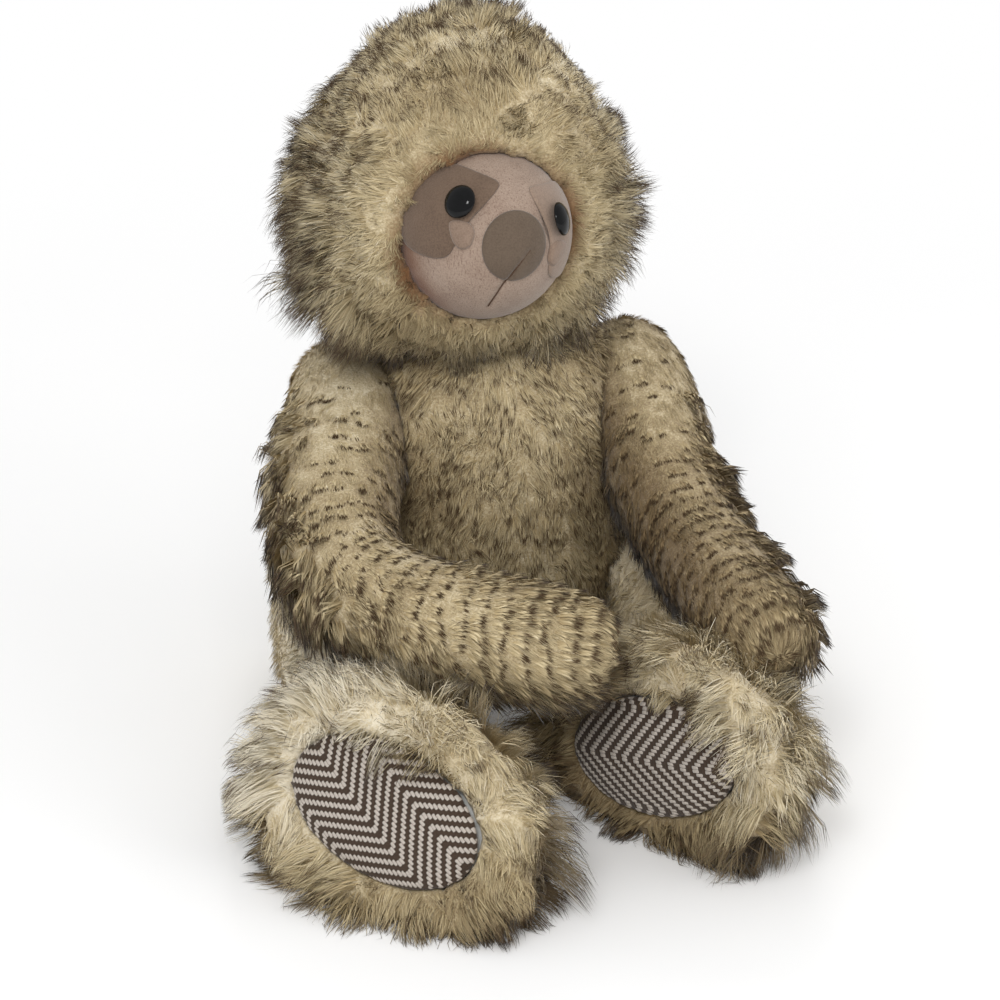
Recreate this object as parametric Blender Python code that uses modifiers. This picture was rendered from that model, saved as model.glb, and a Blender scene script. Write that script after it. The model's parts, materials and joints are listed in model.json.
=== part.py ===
"""A seated plush sloth with five disc joints, modelled as its sewn skins, stuffing and joint hardware.

The toy faces -Y and sits with the flat of its seat on z = 0. Its own right side is at -X.
Each fur skin is a wall as thick as the matted pile, so its outside is the mean surface of the fur.
"""

import math

import bmesh
import bpy
from mathutils import Matrix, Vector

CLEAR = 0.0003          # gap between pieces that touch
CUT_OVERRUN = 0.004     # how far a cutter runs past the face it opens

# Fur skins
PILE_WALL = 0.006       # backing and matted pile together
STUFFING_GAP = 0.0007   # between a skin's hollow and the stuffing in it
FLOOR_Z = 0.0

# Torso, from the seat to the neck seam
TORSO_HEIGHT = 0.162
TORSO_WIDTH = 0.118
TORSO_DEPTH = 0.098
# height, width, depth and how far the section stands forward
TORSO_SECTION_SHARES = (
    (-0.03, 0.60, 0.66, 0.00),
    (0.08, 0.80, 0.86, 0.01),
    (0.26, 0.90, 0.96, 0.03),
    (0.50, 1.02, 1.02, 0.05),
    (0.70, 0.97, 0.95, 0.03),
    (0.86, 0.86, 0.84, 0.00),
    (0.97, 0.62, 0.66, 0.00),
    (1.04, 0.42, 0.46, 0.00),
)
PELLET_BAG_HEIGHT = 0.036
PELLET_BAG_WIDTH = 0.054
PELLET_BAG_DEPTH = 0.060
# height, width and depth of the bag's sections
PELLET_BAG_SHARES = (
    (0.00, 0.70, 0.70),
    (0.30, 1.00, 1.00),
    (0.70, 0.96, 0.96),
    (1.00, 0.60, 0.60),
)

# Head
HEAD_HEIGHT = 0.132
HEAD_WIDTH = 0.128
HEAD_DEPTH = 0.118
HEAD_SIDE = -0.013      # the head sits a little to the toy's right
HEAD_LIFT_SHARE = 0.475   # centre above the neck seam, of the head's height
# height, width and depth of the hood's sections, from the nape up to the crown
HEAD_SECTION_SHARES = (
    (-0.52, 0.42, 0.46),
    (-0.43, 0.74, 0.78),
    (-0.22, 0.99, 1.00),
    (0.02, 1.00, 1.02),
    (0.22, 0.84, 0.91),
    (0.38, 0.60, 0.68),
    (0.48, 0.32, 0.36),
)
HEAD_YAW = math.radians(9.4)      # towards the toy's left
HEAD_PITCH = math.radians(14.8)   # nose up
HEAD_ROLL = math.radians(15.5)    # crown towards the toy's left

# Face panel, a velour ball front sewn into the hood
FACE_RADIUS = 0.0358
NOSE_STANDOUT = 0.0027     # how far the tip of the muzzle stands out of the round
FACE_NOSE_REACH = FACE_RADIUS + NOSE_STANDOUT
FACE_FABRIC = 0.0016
FACE_DROP = 0.0205         # ball centre below the head's centre
FACE_FORWARD = 0.037
FACE_RIM_SHARE = 0.35      # how far the panel runs behind the ball's equator, of its radius
PATCH_FABRIC = 0.0010
NOSE_PATCH_WIDTH = 0.027
NOSE_PATCH_HEIGHT = 0.028
NOSE_DROP = 0.002
EYE_PATCH_WIDTH = 0.034
EYE_PATCH_HEIGHT = 0.040
EYE_PATCH_SIDE = 0.0235
EYE_PATCH_UP = 0.0065
# across and up from the patch's centre, going round from the pointed inner tip
EYE_PATCH_OUTLINE_SHARES = (
    (0.50, 0.44), (0.30, 0.47), (0.05, 0.50), (-0.22, 0.45), (-0.42, 0.28), (-0.50, 0.02),
    (-0.46, -0.24), (-0.32, -0.43), (-0.10, -0.50), (0.06, -0.46), (0.12, -0.28),
    (0.20, -0.08), (0.34, 0.12), (0.46, 0.30),
)
MOUTH_THREAD = 0.0007
MOUTH_TOP_SHARE = 0.05      # polar angle where the seam starts, of a quarter turn
MOUTH_BOTTOM_SHARE = 0.62
MOUTH_POINTS = 9

# Eyes
EYE_DIAMETER = 0.014
EYE_BULGE = 0.0052
EYE_BASE = 0.0014
EYE_SHANK_DIAMETER = 0.0035
EYE_SHANK_LENGTH = 0.012
EYE_SIDE_SHARE = 0.535      # place on the ball, as parts of its radius
EYE_UP_SHARE = 0.275
EYE_WASHER_DIAMETER = 0.012
EYE_WASHER_THICKNESS = 0.0015

# Disc joints
DISC_THICKNESS = 0.003
DISC_ROUNDING_SHARE = 0.3
NECK_DISC_RADIUS = 0.015
ARM_DISC_RADIUS = 0.012
LEG_DISC_RADIUS = 0.0135
POST_RADIUS = 0.004
LOCK_RADIUS = 0.0074
LOCK_THICKNESS = 0.0022
POST_END = 0.0025           # post standing out of the lock ring
BODY_FACE_RADIUS = 0.042    # where the torso is pressed flat at a limb
LIMB_FACE_RADIUS = 0.054    # where a limb is pressed flat against the torso

# Arms
ARM_LENGTH = 0.230
ARM_RADIUS = 0.0240
ARM_FACE_OFFSET = 0.0155    # arm's middle outside the flat face on the torso
SHOULDER_HEIGHT_SHARE = 0.765
SHOULDER_FACE_SHARE = 0.73
LAP_CLEARANCE = 0.0035
# outward, forward, drop towards the lap and thickness, from above the shoulder to the hand
ARM_TOP_SHARES = (
    (0.00, -0.108, -0.18, 0.72),
    (0.00, -0.083, -0.12, 0.96),
    (0.015, 0.02, 0.04, 1.00),
)
RIGHT_ARM_SHARES = ARM_TOP_SHARES + (
    (0.055, 0.17, 0.30, 1.00),
    (0.085, 0.33, 0.64, 0.96),
    (0.078, 0.47, 0.94, 0.90),
    (-0.030, 0.595, 1.00, 0.85),
    (-0.165, 0.675, 1.02, 0.82),
    (-0.270, 0.725, 1.04, 0.76),
    (-0.318, 0.745, 1.05, 0.46),
)
LEFT_ARM_SHARES = ARM_TOP_SHARES + (
    (0.010, 0.18, 0.36, 0.88),
    (0.026, 0.34, 0.72, 0.82),
    (0.048, 0.50, 0.96, 0.79),
    (0.072, 0.64, 1.03, 0.77),
    (0.092, 0.74, 1.06, 0.74),
    (0.098, 0.785, 1.07, 0.44),
)

# Legs
LEG_LENGTH = 0.185
LEG_RADIUS = 0.0265
LEG_FACE_OFFSET = 0.018
LEG_AXIS_Z = 0.036
HIP_HEIGHT_SHARE = 0.275
HIP_FACE_SHARE = 0.81
# outward, forward, fall towards the floor and thickness, from behind the hip to the ankle
LEG_TOP_SHARES = (
    (0.00, -0.145, -0.10, 0.72),
    (0.00, -0.112, -0.05, 0.97),
    (0.01, 0.02, 0.00, 1.00),
)
RIGHT_LEG_SHARES = LEG_TOP_SHARES + (
    (0.03, 0.22, 0.50, 1.00),
    (0.045, 0.46, 0.90, 0.98),
)
LEFT_LEG_SHARES = LEG_TOP_SHARES + (
    (0.035, 0.20, 0.50, 1.00),
    (0.030, 0.42, 0.90, 0.98),
)

# Feet
SOLE_LENGTH = 0.088
SOLE_WIDTH = 0.053
SOLE_BULGE = 0.0045
FOOT_RIM = 0.0170           # fur standing round the sole
FOOT_DEPTH = 0.046
SOLE_CENTRE_Z = 0.037
# depth behind the sole, and sizes of the section there
FOOT_SECTION_SHARES = (
    (0.92, 0.60, 0.70),
    (0.46, 0.90, 0.90),
    (0.16, 1.05, 1.03),
    (0.03, 0.95, 0.93),
)
SOLE_SECTION_SHARES = (
    (1.00, 0.96),
    (0.00, 1.04),
    (-0.60, 0.82),
    (-1.00, 0.46),
)
# outward and forward place of the sole, of the leg's length, and the ways it faces and points
RIGHT_SOLE_PLACE_SHARES = (0.052, 1.028)
RIGHT_SOLE_FACING_SHARES = (-0.55, -0.72, 0.42)
RIGHT_SOLE_TOE_SHARES = (-0.72, 0.67, 0.21)
LEFT_SOLE_PLACE_SHARES = (-0.168, 0.906)
LEFT_SOLE_FACING_SHARES = (-0.79, -0.60, 0.00)
LEFT_SOLE_TOE_SHARES = (0.56, -0.76, 0.33)

# Facets
CAGE_SIDES = 8
CAGE_LEVELS = 1
LATHE_STEPS = 18
BALL_RINGS = 7
SOLE_SIDES = 10
SMALL_STEPS = 12
EYE_STEPS = 16
EYE_RINGS = 5

FUR_CREAM = (0.56, 0.47, 0.31)
FUR_BROWN = (0.30, 0.23, 0.14)
VELOUR_PINK = (0.40, 0.27, 0.20)
VELOUR_TAUPE = (0.20, 0.14, 0.11)
TWEED_GREY = (0.22, 0.19, 0.17)
EYE_BLACK = (0.01, 0.01, 0.01)
STUFFING_WHITE = (0.80, 0.80, 0.78)
BAG_GREY = (0.55, 0.55, 0.52)
NYLON_WHITE = (0.75, 0.75, 0.72)


def clear_scene():
    for old in list(bpy.data.objects):
        bpy.data.objects.remove(old, do_unlink=True)


def collection(name):
    made = bpy.data.collections.new(name)
    bpy.context.scene.collection.children.link(made)
    return made


def material(name, colour, roughness, metallic=0.0):
    made = bpy.data.materials.new(name)
    made.use_nodes = True
    shader = made.node_tree.nodes["Principled BSDF"]
    shader.inputs["Base Color"].default_value = (*colour, 1.0)
    shader.inputs["Roughness"].default_value = roughness
    shader.inputs["Metallic"].default_value = metallic
    return made


def mesh_object(name, mesh):
    made = bpy.data.objects.new(name, mesh)
    PARTS.objects.link(made)
    return made


def as_cutter(thing):
    """Moves a helper form to the cutters and draws it as a wire."""
    PARTS.objects.unlink(thing)
    CUTTERS.objects.link(thing)
    thing.hide_render = True
    thing.display_type = "WIRE"
    return thing


def boolean(thing, other, operation="DIFFERENCE"):
    step = thing.modifiers.new(f"{operation.lower()}_{other.name}", "BOOLEAN")
    step.operation = operation
    step.solver = "EXACT"
    step.object = other


def finish(thing, colour):
    thing.data.materials.append(colour)
    thing.data.shade_smooth()


def ring_swell(sides):
    """How much a cage ring must be oversized so that its smoothed ring has the size asked for."""
    return 3.0 / (2.0 + math.cos(math.tau / sides))


def soft_form(name, rings, inset=0.0, sides=CAGE_SIDES, levels=CAGE_LEVELS):
    """A closed soft body, lofted through oval rings as a coarse cage and smoothed.

    Each ring is (centre, across, over, half across, half over). An inset shrinks every ring and
    draws the two ends in by the same amount.
    """
    swell = ring_swell(sides)
    shape = bmesh.new()
    loops = []
    for index, (centre, across, over, half_across, half_over) in enumerate(rings):
        if index in (0, len(rings) - 1):
            nearest = rings[1][0] if index == 0 else rings[-2][0]
            centre = centre + (nearest - centre).normalized() * inset
        loop = []
        for side in range(sides):
            angle = math.tau * (side + 0.5) / sides
            place = centre + across * math.cos(angle) * max(half_across - inset, CLEAR) * swell
            place = place + over * math.sin(angle) * max(half_over - inset, CLEAR) * swell
            loop.append(shape.verts.new(place))
        loops.append(loop)
    for low, high in zip(loops, loops[1:]):
        for side in range(sides):
            after = (side + 1) % sides
            shape.faces.new((low[side], low[after], high[after], high[side]))
    shape.faces.new(list(reversed(loops[0])))
    shape.faces.new(loops[-1])
    bmesh.ops.recalc_face_normals(shape, faces=shape.faces)
    mesh = bpy.data.meshes.new(name)
    shape.to_mesh(mesh)
    shape.free()
    made = mesh_object(name, mesh)
    smooth = made.modifiers.new("smooth", "SUBSURF")
    smooth.levels = levels
    smooth.render_levels = levels
    return made


def path_rings(points):
    """Rings square to a path of (place, half across, half over), kept level across."""
    rings = []
    for index, (place, half_across, half_over) in enumerate(points):
        before = points[max(index - 1, 0)][0]
        after = points[min(index + 1, len(points) - 1)][0]
        along = (after - before).normalized()
        across = along.cross(Vector((0, 0, 1))).normalized()
        rings.append((place, across, across.cross(along), half_across, half_over))
    return rings


def axis_frame(place, along):
    """A matrix at a place whose Z runs along a direction."""
    turn = Vector((0, 0, 1)).rotation_difference(along).to_matrix().to_4x4()
    return Matrix.Translation(place) @ turn


def lathe(name, outline, frame, steps=LATHE_STEPS, closed=False):
    """A turned piece from (radius, height) points listed from the top down its outer side."""
    mesh = bpy.data.meshes.new(name)
    edges = [(index, index + 1) for index in range(len(outline) - 1)]
    if closed:
        edges.append((len(outline) - 1, 0))
    mesh.from_pydata([(radius, 0, height) for radius, height in outline], edges, [])
    made = mesh_object(name, mesh)
    turn = made.modifiers.new("turn", "SCREW")
    turn.axis = "Z"
    turn.steps = steps
    turn.render_steps = steps
    turn.use_merge_vertices = True
    turn.merge_threshold = CLEAR / 10
    made.matrix_world = frame
    return made


def rod(name, radius, low, high, frame, steps=SMALL_STEPS):
    """A plain cylinder between two heights along its frame's Z."""
    shape = bmesh.new()
    middle = Matrix.Translation((0, 0, (low + high) / 2))
    bmesh.ops.create_cone(
        shape, cap_ends=True, segments=steps, radius1=radius, radius2=radius, depth=high - low, matrix=middle
    )
    mesh = bpy.data.meshes.new(name)
    shape.to_mesh(mesh)
    shape.free()
    made = mesh_object(name, mesh)
    made.matrix_world = frame
    return made


# Torso forms


def torso_rings():
    rings = []
    for height, width, depth, forward in TORSO_SECTION_SHARES:
        centre = Vector((0, -forward * TORSO_DEPTH, height * TORSO_HEIGHT))
        half_width = width * TORSO_WIDTH / 2
        half_depth = depth * TORSO_DEPTH / 2
        rings.append((centre, Vector((1, 0, 0)), Vector((0, 1, 0)), half_width, half_depth))
    return rings


def floor_cut(form, inset):
    """Presses a form flat where it rests on the floor."""
    reach = LEG_LENGTH * 3
    frame = Matrix.Translation((0, 0, FLOOR_Z + inset))
    slab = as_cutter(rod(f"{form.name}_floor", reach, -TORSO_HEIGHT, 0, frame))
    boolean(form, slab)


def joint_face_cut(form, joint, inset, on_body):
    """Presses a form flat at a joint, on the torso's side or on the side of what it carries."""
    start = CLEAR / 2 + inset
    frame = axis_frame(joint["place"], joint["inward"] if on_body else -joint["inward"])
    radius = (BODY_FACE_RADIUS if on_body else LIMB_FACE_RADIUS) + inset
    name = f"{form.name}_{joint['name']}_face"
    boolean(form, as_cutter(rod(name, radius, -radius, start, frame)))


def torso_form(name, inset):
    form = soft_form(name, torso_rings(), inset)
    floor_cut(form, inset)
    for joint in JOINTS.values():
        joint_face_cut(form, joint, inset, on_body=True)
    return form


# Head forms


def head_turn():
    """The head's own axes: X to the toy's left, Y up, Z out of the nose."""
    upright = Matrix(((1, 0, 0), (0, 0, -1), (0, 1, 0)))
    yaw = Matrix.Rotation(HEAD_YAW, 3, "Z")
    pitch = Matrix.Rotation(-HEAD_PITCH, 3, "X")
    roll = Matrix.Rotation(HEAD_ROLL, 3, "Y")
    return (yaw @ pitch @ roll @ upright).to_4x4()


def head_frame():
    centre = Vector((HEAD_SIDE, 0, TORSO_HEIGHT + HEAD_LIFT_SHARE * HEAD_HEIGHT))
    return Matrix.Translation(centre) @ head_turn()


def face_frame():
    return head_frame() @ Matrix.Translation((0, -FACE_DROP, FACE_FORWARD))


def head_form(name, inset):
    frame = head_frame()
    across = (frame.to_3x3() @ Vector((1, 0, 0))).normalized()
    over = (frame.to_3x3() @ Vector((0, 0, 1))).normalized()
    rings = []
    for height, width, depth in HEAD_SECTION_SHARES:
        centre = frame @ Vector((0, height * HEAD_HEIGHT, 0))
        rings.append((centre, across, over, width * HEAD_WIDTH / 2, depth * HEAD_DEPTH / 2))
    form = soft_form(name, rings, inset)
    joint_face_cut(form, JOINTS["neck"], inset, on_body=False)
    return form


def face_outline(offset, rim_extra=0.0, rings=BALL_RINGS):
    """Points down the ball's profile, from the tip of the muzzle to the panel's rim."""
    lowest = -FACE_RIM_SHARE * FACE_RADIUS - rim_extra
    last = math.acos(max(-1.0, lowest / (FACE_RADIUS + offset)))
    outline = []
    for index in range(rings + 1):
        angle = last * index / rings
        reach = FACE_NOSE_REACH if angle < math.pi / 2 else FACE_RADIUS
        outline.append(
            ((FACE_RADIUS + offset) * math.sin(angle), (reach + offset) * math.cos(angle))
        )
    return outline


def face_layer(name, inside, outside, rim_extra=0.0, rings=BALL_RINGS):
    """A cup shaped as the ball's front, between two distances from its outer surface."""
    outer = face_outline(outside, rim_extra, rings)
    inner = face_outline(inside, rim_extra, rings)
    return lathe(name, outer + list(reversed(inner)), face_frame())


def face_plug(name, offset):
    """The whole ball, for cutting the hood's opening and for the stuffing behind the face."""
    radius = FACE_RADIUS + offset
    reach = FACE_NOSE_REACH + offset
    outline = []
    for index in range(2 * BALL_RINGS + 1):
        angle = math.pi * index / (2 * BALL_RINGS)
        length = reach if angle < math.pi / 2 else radius
        outline.append((radius * math.sin(angle), length * math.cos(angle)))
    outline[0] = (0, reach)
    outline[-1] = (0, -radius)
    return lathe(name, outline, face_frame())


def outline_prism(name, outline, height, frame):
    """A flat outline pulled up along its frame's Z, from the frame's origin."""
    curve = bpy.data.curves.new(name, "CURVE")
    curve.dimensions = "2D"
    curve.fill_mode = "BOTH"
    curve.extrude = height / 2
    spline = curve.splines.new("POLY")
    spline.points.add(len(outline) - 1)
    for point, (across, up) in zip(spline.points, outline):
        point.co = (across, up, 0, 1)
    spline.use_cyclic_u = True
    drawn = bpy.data.objects.new(name, curve)
    PARTS.objects.link(drawn)
    drawn.matrix_world = frame @ Matrix.Translation((0, 0, height / 2))
    return curve_to_mesh(drawn)


def curve_to_mesh(drawn):
    """Replaces a curve object with a welded mesh object of the same name and place."""
    name = drawn.name
    place = drawn.matrix_world.copy()
    bpy.context.view_layer.update()
    depsgraph = bpy.context.evaluated_depsgraph_get()
    mesh = bpy.data.meshes.new_from_object(drawn.evaluated_get(depsgraph))
    bpy.data.objects.remove(drawn, do_unlink=True)
    shape = bmesh.new()
    shape.from_mesh(mesh)
    bmesh.ops.remove_doubles(shape, verts=shape.verts, dist=CLEAR / 10)
    bmesh.ops.recalc_face_normals(shape, faces=shape.faces)
    shape.to_mesh(mesh)
    shape.free()
    made = mesh_object(name, mesh)
    made.matrix_world = place
    return made


# Limb forms


def lap_height():
    return LEG_AXIS_Z + LEG_RADIUS + ARM_RADIUS + LAP_CLEARANCE


def arm_rings(joint, shares):
    side = joint["side"]
    middle = joint["place"] - joint["inward"] * ARM_FACE_OFFSET
    drop = middle.z - lap_height()
    points = []
    for out, forward, down, thickness in shares:
        offset = Vector((side * out * ARM_LENGTH, -forward * ARM_LENGTH, -down * drop))
        points.append((middle + offset, thickness * ARM_RADIUS, thickness * ARM_RADIUS))
    return path_rings(points)


def arm_form(name, joint, shares, inset):
    form = soft_form(name, arm_rings(joint, shares), inset)
    joint_face_cut(form, joint, inset, on_body=False)
    return form


def sole_frame(joint, leg):
    """The sole's place, with Z out of it and X towards the toes."""
    middle = joint["place"] - joint["inward"] * LEG_FACE_OFFSET
    out, forward = leg["place"]
    x = middle.x + joint["side"] * out * LEG_LENGTH
    facing = Vector(leg["facing"]).normalized()
    toe = Vector(leg["toe"])
    toe = (toe - facing * toe.dot(facing)).normalized()
    turn = Matrix((toe, facing.cross(toe), facing)).transposed().to_4x4()
    return Matrix.Translation((x, -forward * LEG_LENGTH, SOLE_CENTRE_Z)) @ turn


def leg_rings(joint, leg):
    """Round rings down the leg, lined up with the toes, then the oval rings of the foot."""
    side = joint["side"]
    middle = joint["place"] - joint["inward"] * LEG_FACE_OFFSET
    fall = middle.z - LEG_AXIS_Z
    points = []
    for out, forward, down, thickness in leg["shares"]:
        offset = Vector((side * out * LEG_LENGTH, -forward * LEG_LENGTH, -down * fall))
        points.append((middle + offset, thickness * LEG_RADIUS, thickness * LEG_RADIUS))
    frame = sole_frame(joint, leg)
    toe = (frame.to_3x3() @ Vector((1, 0, 0))).normalized()
    over = (frame.to_3x3() @ Vector((0, 1, 0))).normalized()
    rings = []
    for place, across, above, half_across, half_over in path_rings(points):
        along = above.cross(across)
        turned = (toe - along * toe.dot(along)).normalized()
        rings.append((place, turned, along.cross(turned), half_across, half_over))
    half_length = SOLE_LENGTH / 2 + FOOT_RIM
    half_width = SOLE_WIDTH / 2 + FOOT_RIM
    for back, length, width in FOOT_SECTION_SHARES:
        centre = frame @ Vector((0, 0, -back * FOOT_DEPTH))
        rings.append((centre, toe, over, length * half_length, width * half_width))
    return rings


def leg_form(name, joint, leg, inset):
    form = soft_form(name, leg_rings(joint, leg), inset)
    joint_face_cut(form, joint, inset, on_body=False)
    floor_cut(form, inset)
    return form


def sole_form(name, joint, leg, grow=0.0, deeper=0.0):
    """The padded sole: an oval that bulges out of the foot."""
    frame = sole_frame(joint, leg)
    toe = (frame.to_3x3() @ Vector((1, 0, 0))).normalized()
    over = (frame.to_3x3() @ Vector((0, 1, 0))).normalized()
    rings = []
    for depth, size in SOLE_SECTION_SHARES:
        behind = depth * (PILE_WALL if depth > 0 else SOLE_BULGE)
        centre = frame @ Vector((0, 0, -behind))
        half_length = size * SOLE_LENGTH / 2 + grow
        half_width = size * SOLE_WIDTH / 2 + grow
        rings.append((centre, toe, over, half_length, half_width))
    if deeper:
        centre = frame @ Vector((0, 0, -PILE_WALL - deeper))
        rings.insert(0, (centre, *rings[0][1:]))
    return soft_form(name, rings, sides=SOLE_SIDES)


# Joint hardware


def joint_list():
    """Every disc joint: its place between the two skins and the way from the limb into the torso."""
    shoulder_x = SHOULDER_FACE_SHARE * TORSO_WIDTH / 2
    hip_x = HIP_FACE_SHARE * TORSO_WIDTH / 2
    shoulder_z = SHOULDER_HEIGHT_SHARE * TORSO_HEIGHT
    hip_z = HIP_HEIGHT_SHARE * TORSO_HEIGHT
    joints = {
        "neck": {
            "name": "neck",
            "place": Vector((0, 0, TORSO_HEIGHT)),
            "inward": Vector((0, 0, -1)),
            "side": 0,
            "disc": NECK_DISC_RADIUS,
        }
    }
    for word, side in (("right", -1), ("left", 1)):
        joints[f"shoulder_{word}"] = {
            "name": f"shoulder_{word}",
            "place": Vector((side * shoulder_x, 0, shoulder_z)),
            "inward": Vector((-side, 0, 0)),
            "side": side,
            "disc": ARM_DISC_RADIUS,
        }
        joints[f"hip_{word}"] = {
            "name": f"hip_{word}",
            "place": Vector((side * hip_x, 0, hip_z)),
            "inward": Vector((-side, 0, 0)),
            "side": side,
            "disc": LEG_DISC_RADIUS,
        }
    return joints


def wall_end():
    """Distance from a joint's middle to the inside of a skin pressed against it."""
    return CLEAR / 2 + PILE_WALL


def ring_outline(hole, radius, low, high):
    """A flat ring with a rounded rim, as a closed outline from the top of its bore outwards."""
    rounding = (high - low) * DISC_ROUNDING_SHARE
    return (
        (hole, high),
        (radius - rounding, high),
        (radius, high - rounding),
        (radius, low + rounding),
        (radius - rounding, low),
        (hole, low),
    )


def joint_hardware(joint):
    frame = axis_frame(joint["place"], joint["inward"])
    disc = joint["disc"]
    name = joint["name"]
    disc_face = wall_end() + CLEAR
    disc_back = disc_face + DISC_THICKNESS
    lock_face = disc_back + CLEAR
    lock_back = lock_face + LOCK_THICKNESS
    rounding = DISC_THICKNESS * DISC_ROUNDING_SHARE
    stem = (
        (0, lock_back + POST_END),
        (POST_RADIUS - rounding, lock_back + POST_END),
        (POST_RADIUS, lock_back + POST_END - rounding),
        (POST_RADIUS, -disc_face),
        (disc - rounding, -disc_face),
        (disc, -disc_face - rounding),
        (disc, -disc_back + rounding),
        (disc - rounding, -disc_back),
        (0, -disc_back),
    )
    finish(lathe(f"{name}_stem_disc", stem, frame), NYLON)
    washer = ring_outline(POST_RADIUS + CLEAR, disc, disc_face, disc_back)
    finish(lathe(f"{name}_washer_disc", washer, frame, closed=True), NYLON)
    lock = ring_outline(POST_RADIUS + CLEAR, LOCK_RADIUS, lock_face, lock_back)
    finish(lathe(f"{name}_lock_ring", lock, frame, SMALL_STEPS, closed=True), NYLON)


def post_hole(hollow, joint):
    """Adds to a skin's hollow the hole through the wall for the post of a joint."""
    frame = axis_frame(joint["place"], joint["inward"])
    reach = wall_end() + CUT_OVERRUN
    name = f"{hollow.name}_{joint['name']}_post"
    post = rod(name, POST_RADIUS + CLEAR, -reach, reach, frame)
    boolean(hollow, as_cutter(post), "UNION")


def hardware_room(thing, joint, on_body):
    """Leaves room in stuffing for the disc, lock ring and post of a joint."""
    disc = joint["disc"] + CLEAR
    disc_end = wall_end() + CLEAR + DISC_THICKNESS + CLEAR
    post_end = disc_end + LOCK_THICKNESS + POST_END + CLEAR
    frame = axis_frame(joint["place"], joint["inward"] if on_body else -joint["inward"])
    lock = LOCK_RADIUS + CLEAR
    outline = ((0, disc_end), (disc, disc_end), (disc, 0), (0, 0))
    if on_body:
        outline = ((0, post_end), (lock, post_end), (lock, disc_end)) + outline[1:]
    boolean(thing, as_cutter(lathe(f"{thing.name}_{joint['name']}_room", outline, frame)))


# Finished pieces


def torso():
    skin = torso_form("torso_fur_skin", 0.0)
    hollow = as_cutter(torso_form("torso_hollow", PILE_WALL))
    for joint in JOINTS.values():
        post_hole(hollow, joint)
    boolean(skin, hollow)
    finish(skin, FUR)
    bag = pellet_bag("pellet_bag", 0.0, 0.0)
    finish(bag, BAG)
    stuffing = torso_form("torso_stuffing", PILE_WALL + STUFFING_GAP)
    boolean(stuffing, as_cutter(pellet_bag("pellet_bag_room", CLEAR, PILE_WALL)))
    for joint in JOINTS.values():
        hardware_room(stuffing, joint, on_body=True)
    finish(stuffing, STUFFING)


def pellet_bag(name, grow, lower):
    """A small bag of pellets on the floor of the torso; the room for it opens downwards."""
    base = FLOOR_Z + PILE_WALL + CLEAR
    rings = []
    for index, (height, width, depth) in enumerate(PELLET_BAG_SHARES):
        z = base + height * PELLET_BAG_HEIGHT + (grow if index else -lower)
        half_width = width * PELLET_BAG_WIDTH / 2 + grow
        half_depth = depth * PELLET_BAG_DEPTH / 2 + grow
        rings.append((Vector((0, 0, z)), Vector((1, 0, 0)), Vector((0, 1, 0)), half_width, half_depth))
    return soft_form(name, rings)


def eye_frame(side):
    """On the face at an eye, with Z straight out of the ball."""
    forward = math.sqrt(1.0 - EYE_SIDE_SHARE ** 2 - EYE_UP_SHARE ** 2)
    out = Vector((side * EYE_SIDE_SHARE, EYE_UP_SHARE, forward))
    face = face_frame()
    reach = FACE_RADIUS + (FACE_NOSE_REACH - FACE_RADIUS) * forward ** 2
    place = face @ (out * reach)
    return axis_frame(place, (face.to_3x3() @ out).normalized())


def washer_face():
    """Height of an eye washer's face: its rim meets the hollow side of the ball, its middle doesn't."""
    sag = EYE_WASHER_DIAMETER ** 2 / (4 * FACE_RADIUS)
    return -FACE_FABRIC - CLEAR - sag


def eye(word, side):
    frame = eye_frame(side)
    radius = EYE_DIAMETER / 2
    seat = PATCH_FABRIC + CLEAR * 2
    shank = EYE_SHANK_DIAMETER / 2
    outline = []
    for index in range(EYE_RINGS + 1):
        angle = math.pi / 2 * index / EYE_RINGS
        outline.append((radius * math.sin(angle), seat + EYE_BASE + EYE_BULGE * math.cos(angle)))
    outline[0] = (0, outline[0][1])
    end = seat - EYE_SHANK_LENGTH
    outline += [(radius, seat), (shank, seat), (shank, end), (0, end)]
    finish(lathe(f"eye_{word}", outline, frame, EYE_STEPS), EYE)
    high = washer_face()
    low = high - EYE_WASHER_THICKNESS
    ring = ring_outline(shank + CLEAR, EYE_WASHER_DIAMETER / 2, low, high)
    finish(lathe(f"eye_washer_{word}", ring, frame, SMALL_STEPS, closed=True), NYLON)


def shank_cut(thing, side):
    radius = EYE_SHANK_DIAMETER / 2 + CLEAR
    name = f"{thing.name}_shank_{side}"
    frame = eye_frame(side)
    reach = EYE_SHANK_LENGTH
    boolean(thing, as_cutter(rod(name, radius, -reach, reach, frame)))


def eye_room(thing, side):
    """Leaves room in the head's stuffing for an eye's washer and shank."""
    wide = EYE_WASHER_DIAMETER / 2 + CLEAR
    narrow = EYE_SHANK_DIAMETER / 2 + CLEAR
    washer_end = washer_face() - EYE_WASHER_THICKNESS - CLEAR
    end = -EYE_SHANK_LENGTH - CLEAR
    outline = ((0, 0), (wide, 0), (wide, washer_end), (narrow, washer_end), (narrow, end), (0, end))
    name = f"{thing.name}_eye_{side}"
    boolean(thing, as_cutter(lathe(name, outline, eye_frame(side), SMALL_STEPS)))


def patch(name, outline, colour, eye_side=0):
    """A velour patch sewn on the face, cut from a thin layer over the ball by its outline."""
    layer = face_layer(name, CLEAR, CLEAR + PATCH_FABRIC)
    reach = 2 * FACE_NOSE_REACH
    boolean(layer, as_cutter(outline_prism(f"{name}_outline", outline, reach, face_frame())), "INTERSECT")
    boolean(layer, as_cutter(head_form(f"{name}_hood_edge", -CLEAR)))
    if eye_side:
        shank_cut(layer, eye_side)
    finish(layer, colour)


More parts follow.
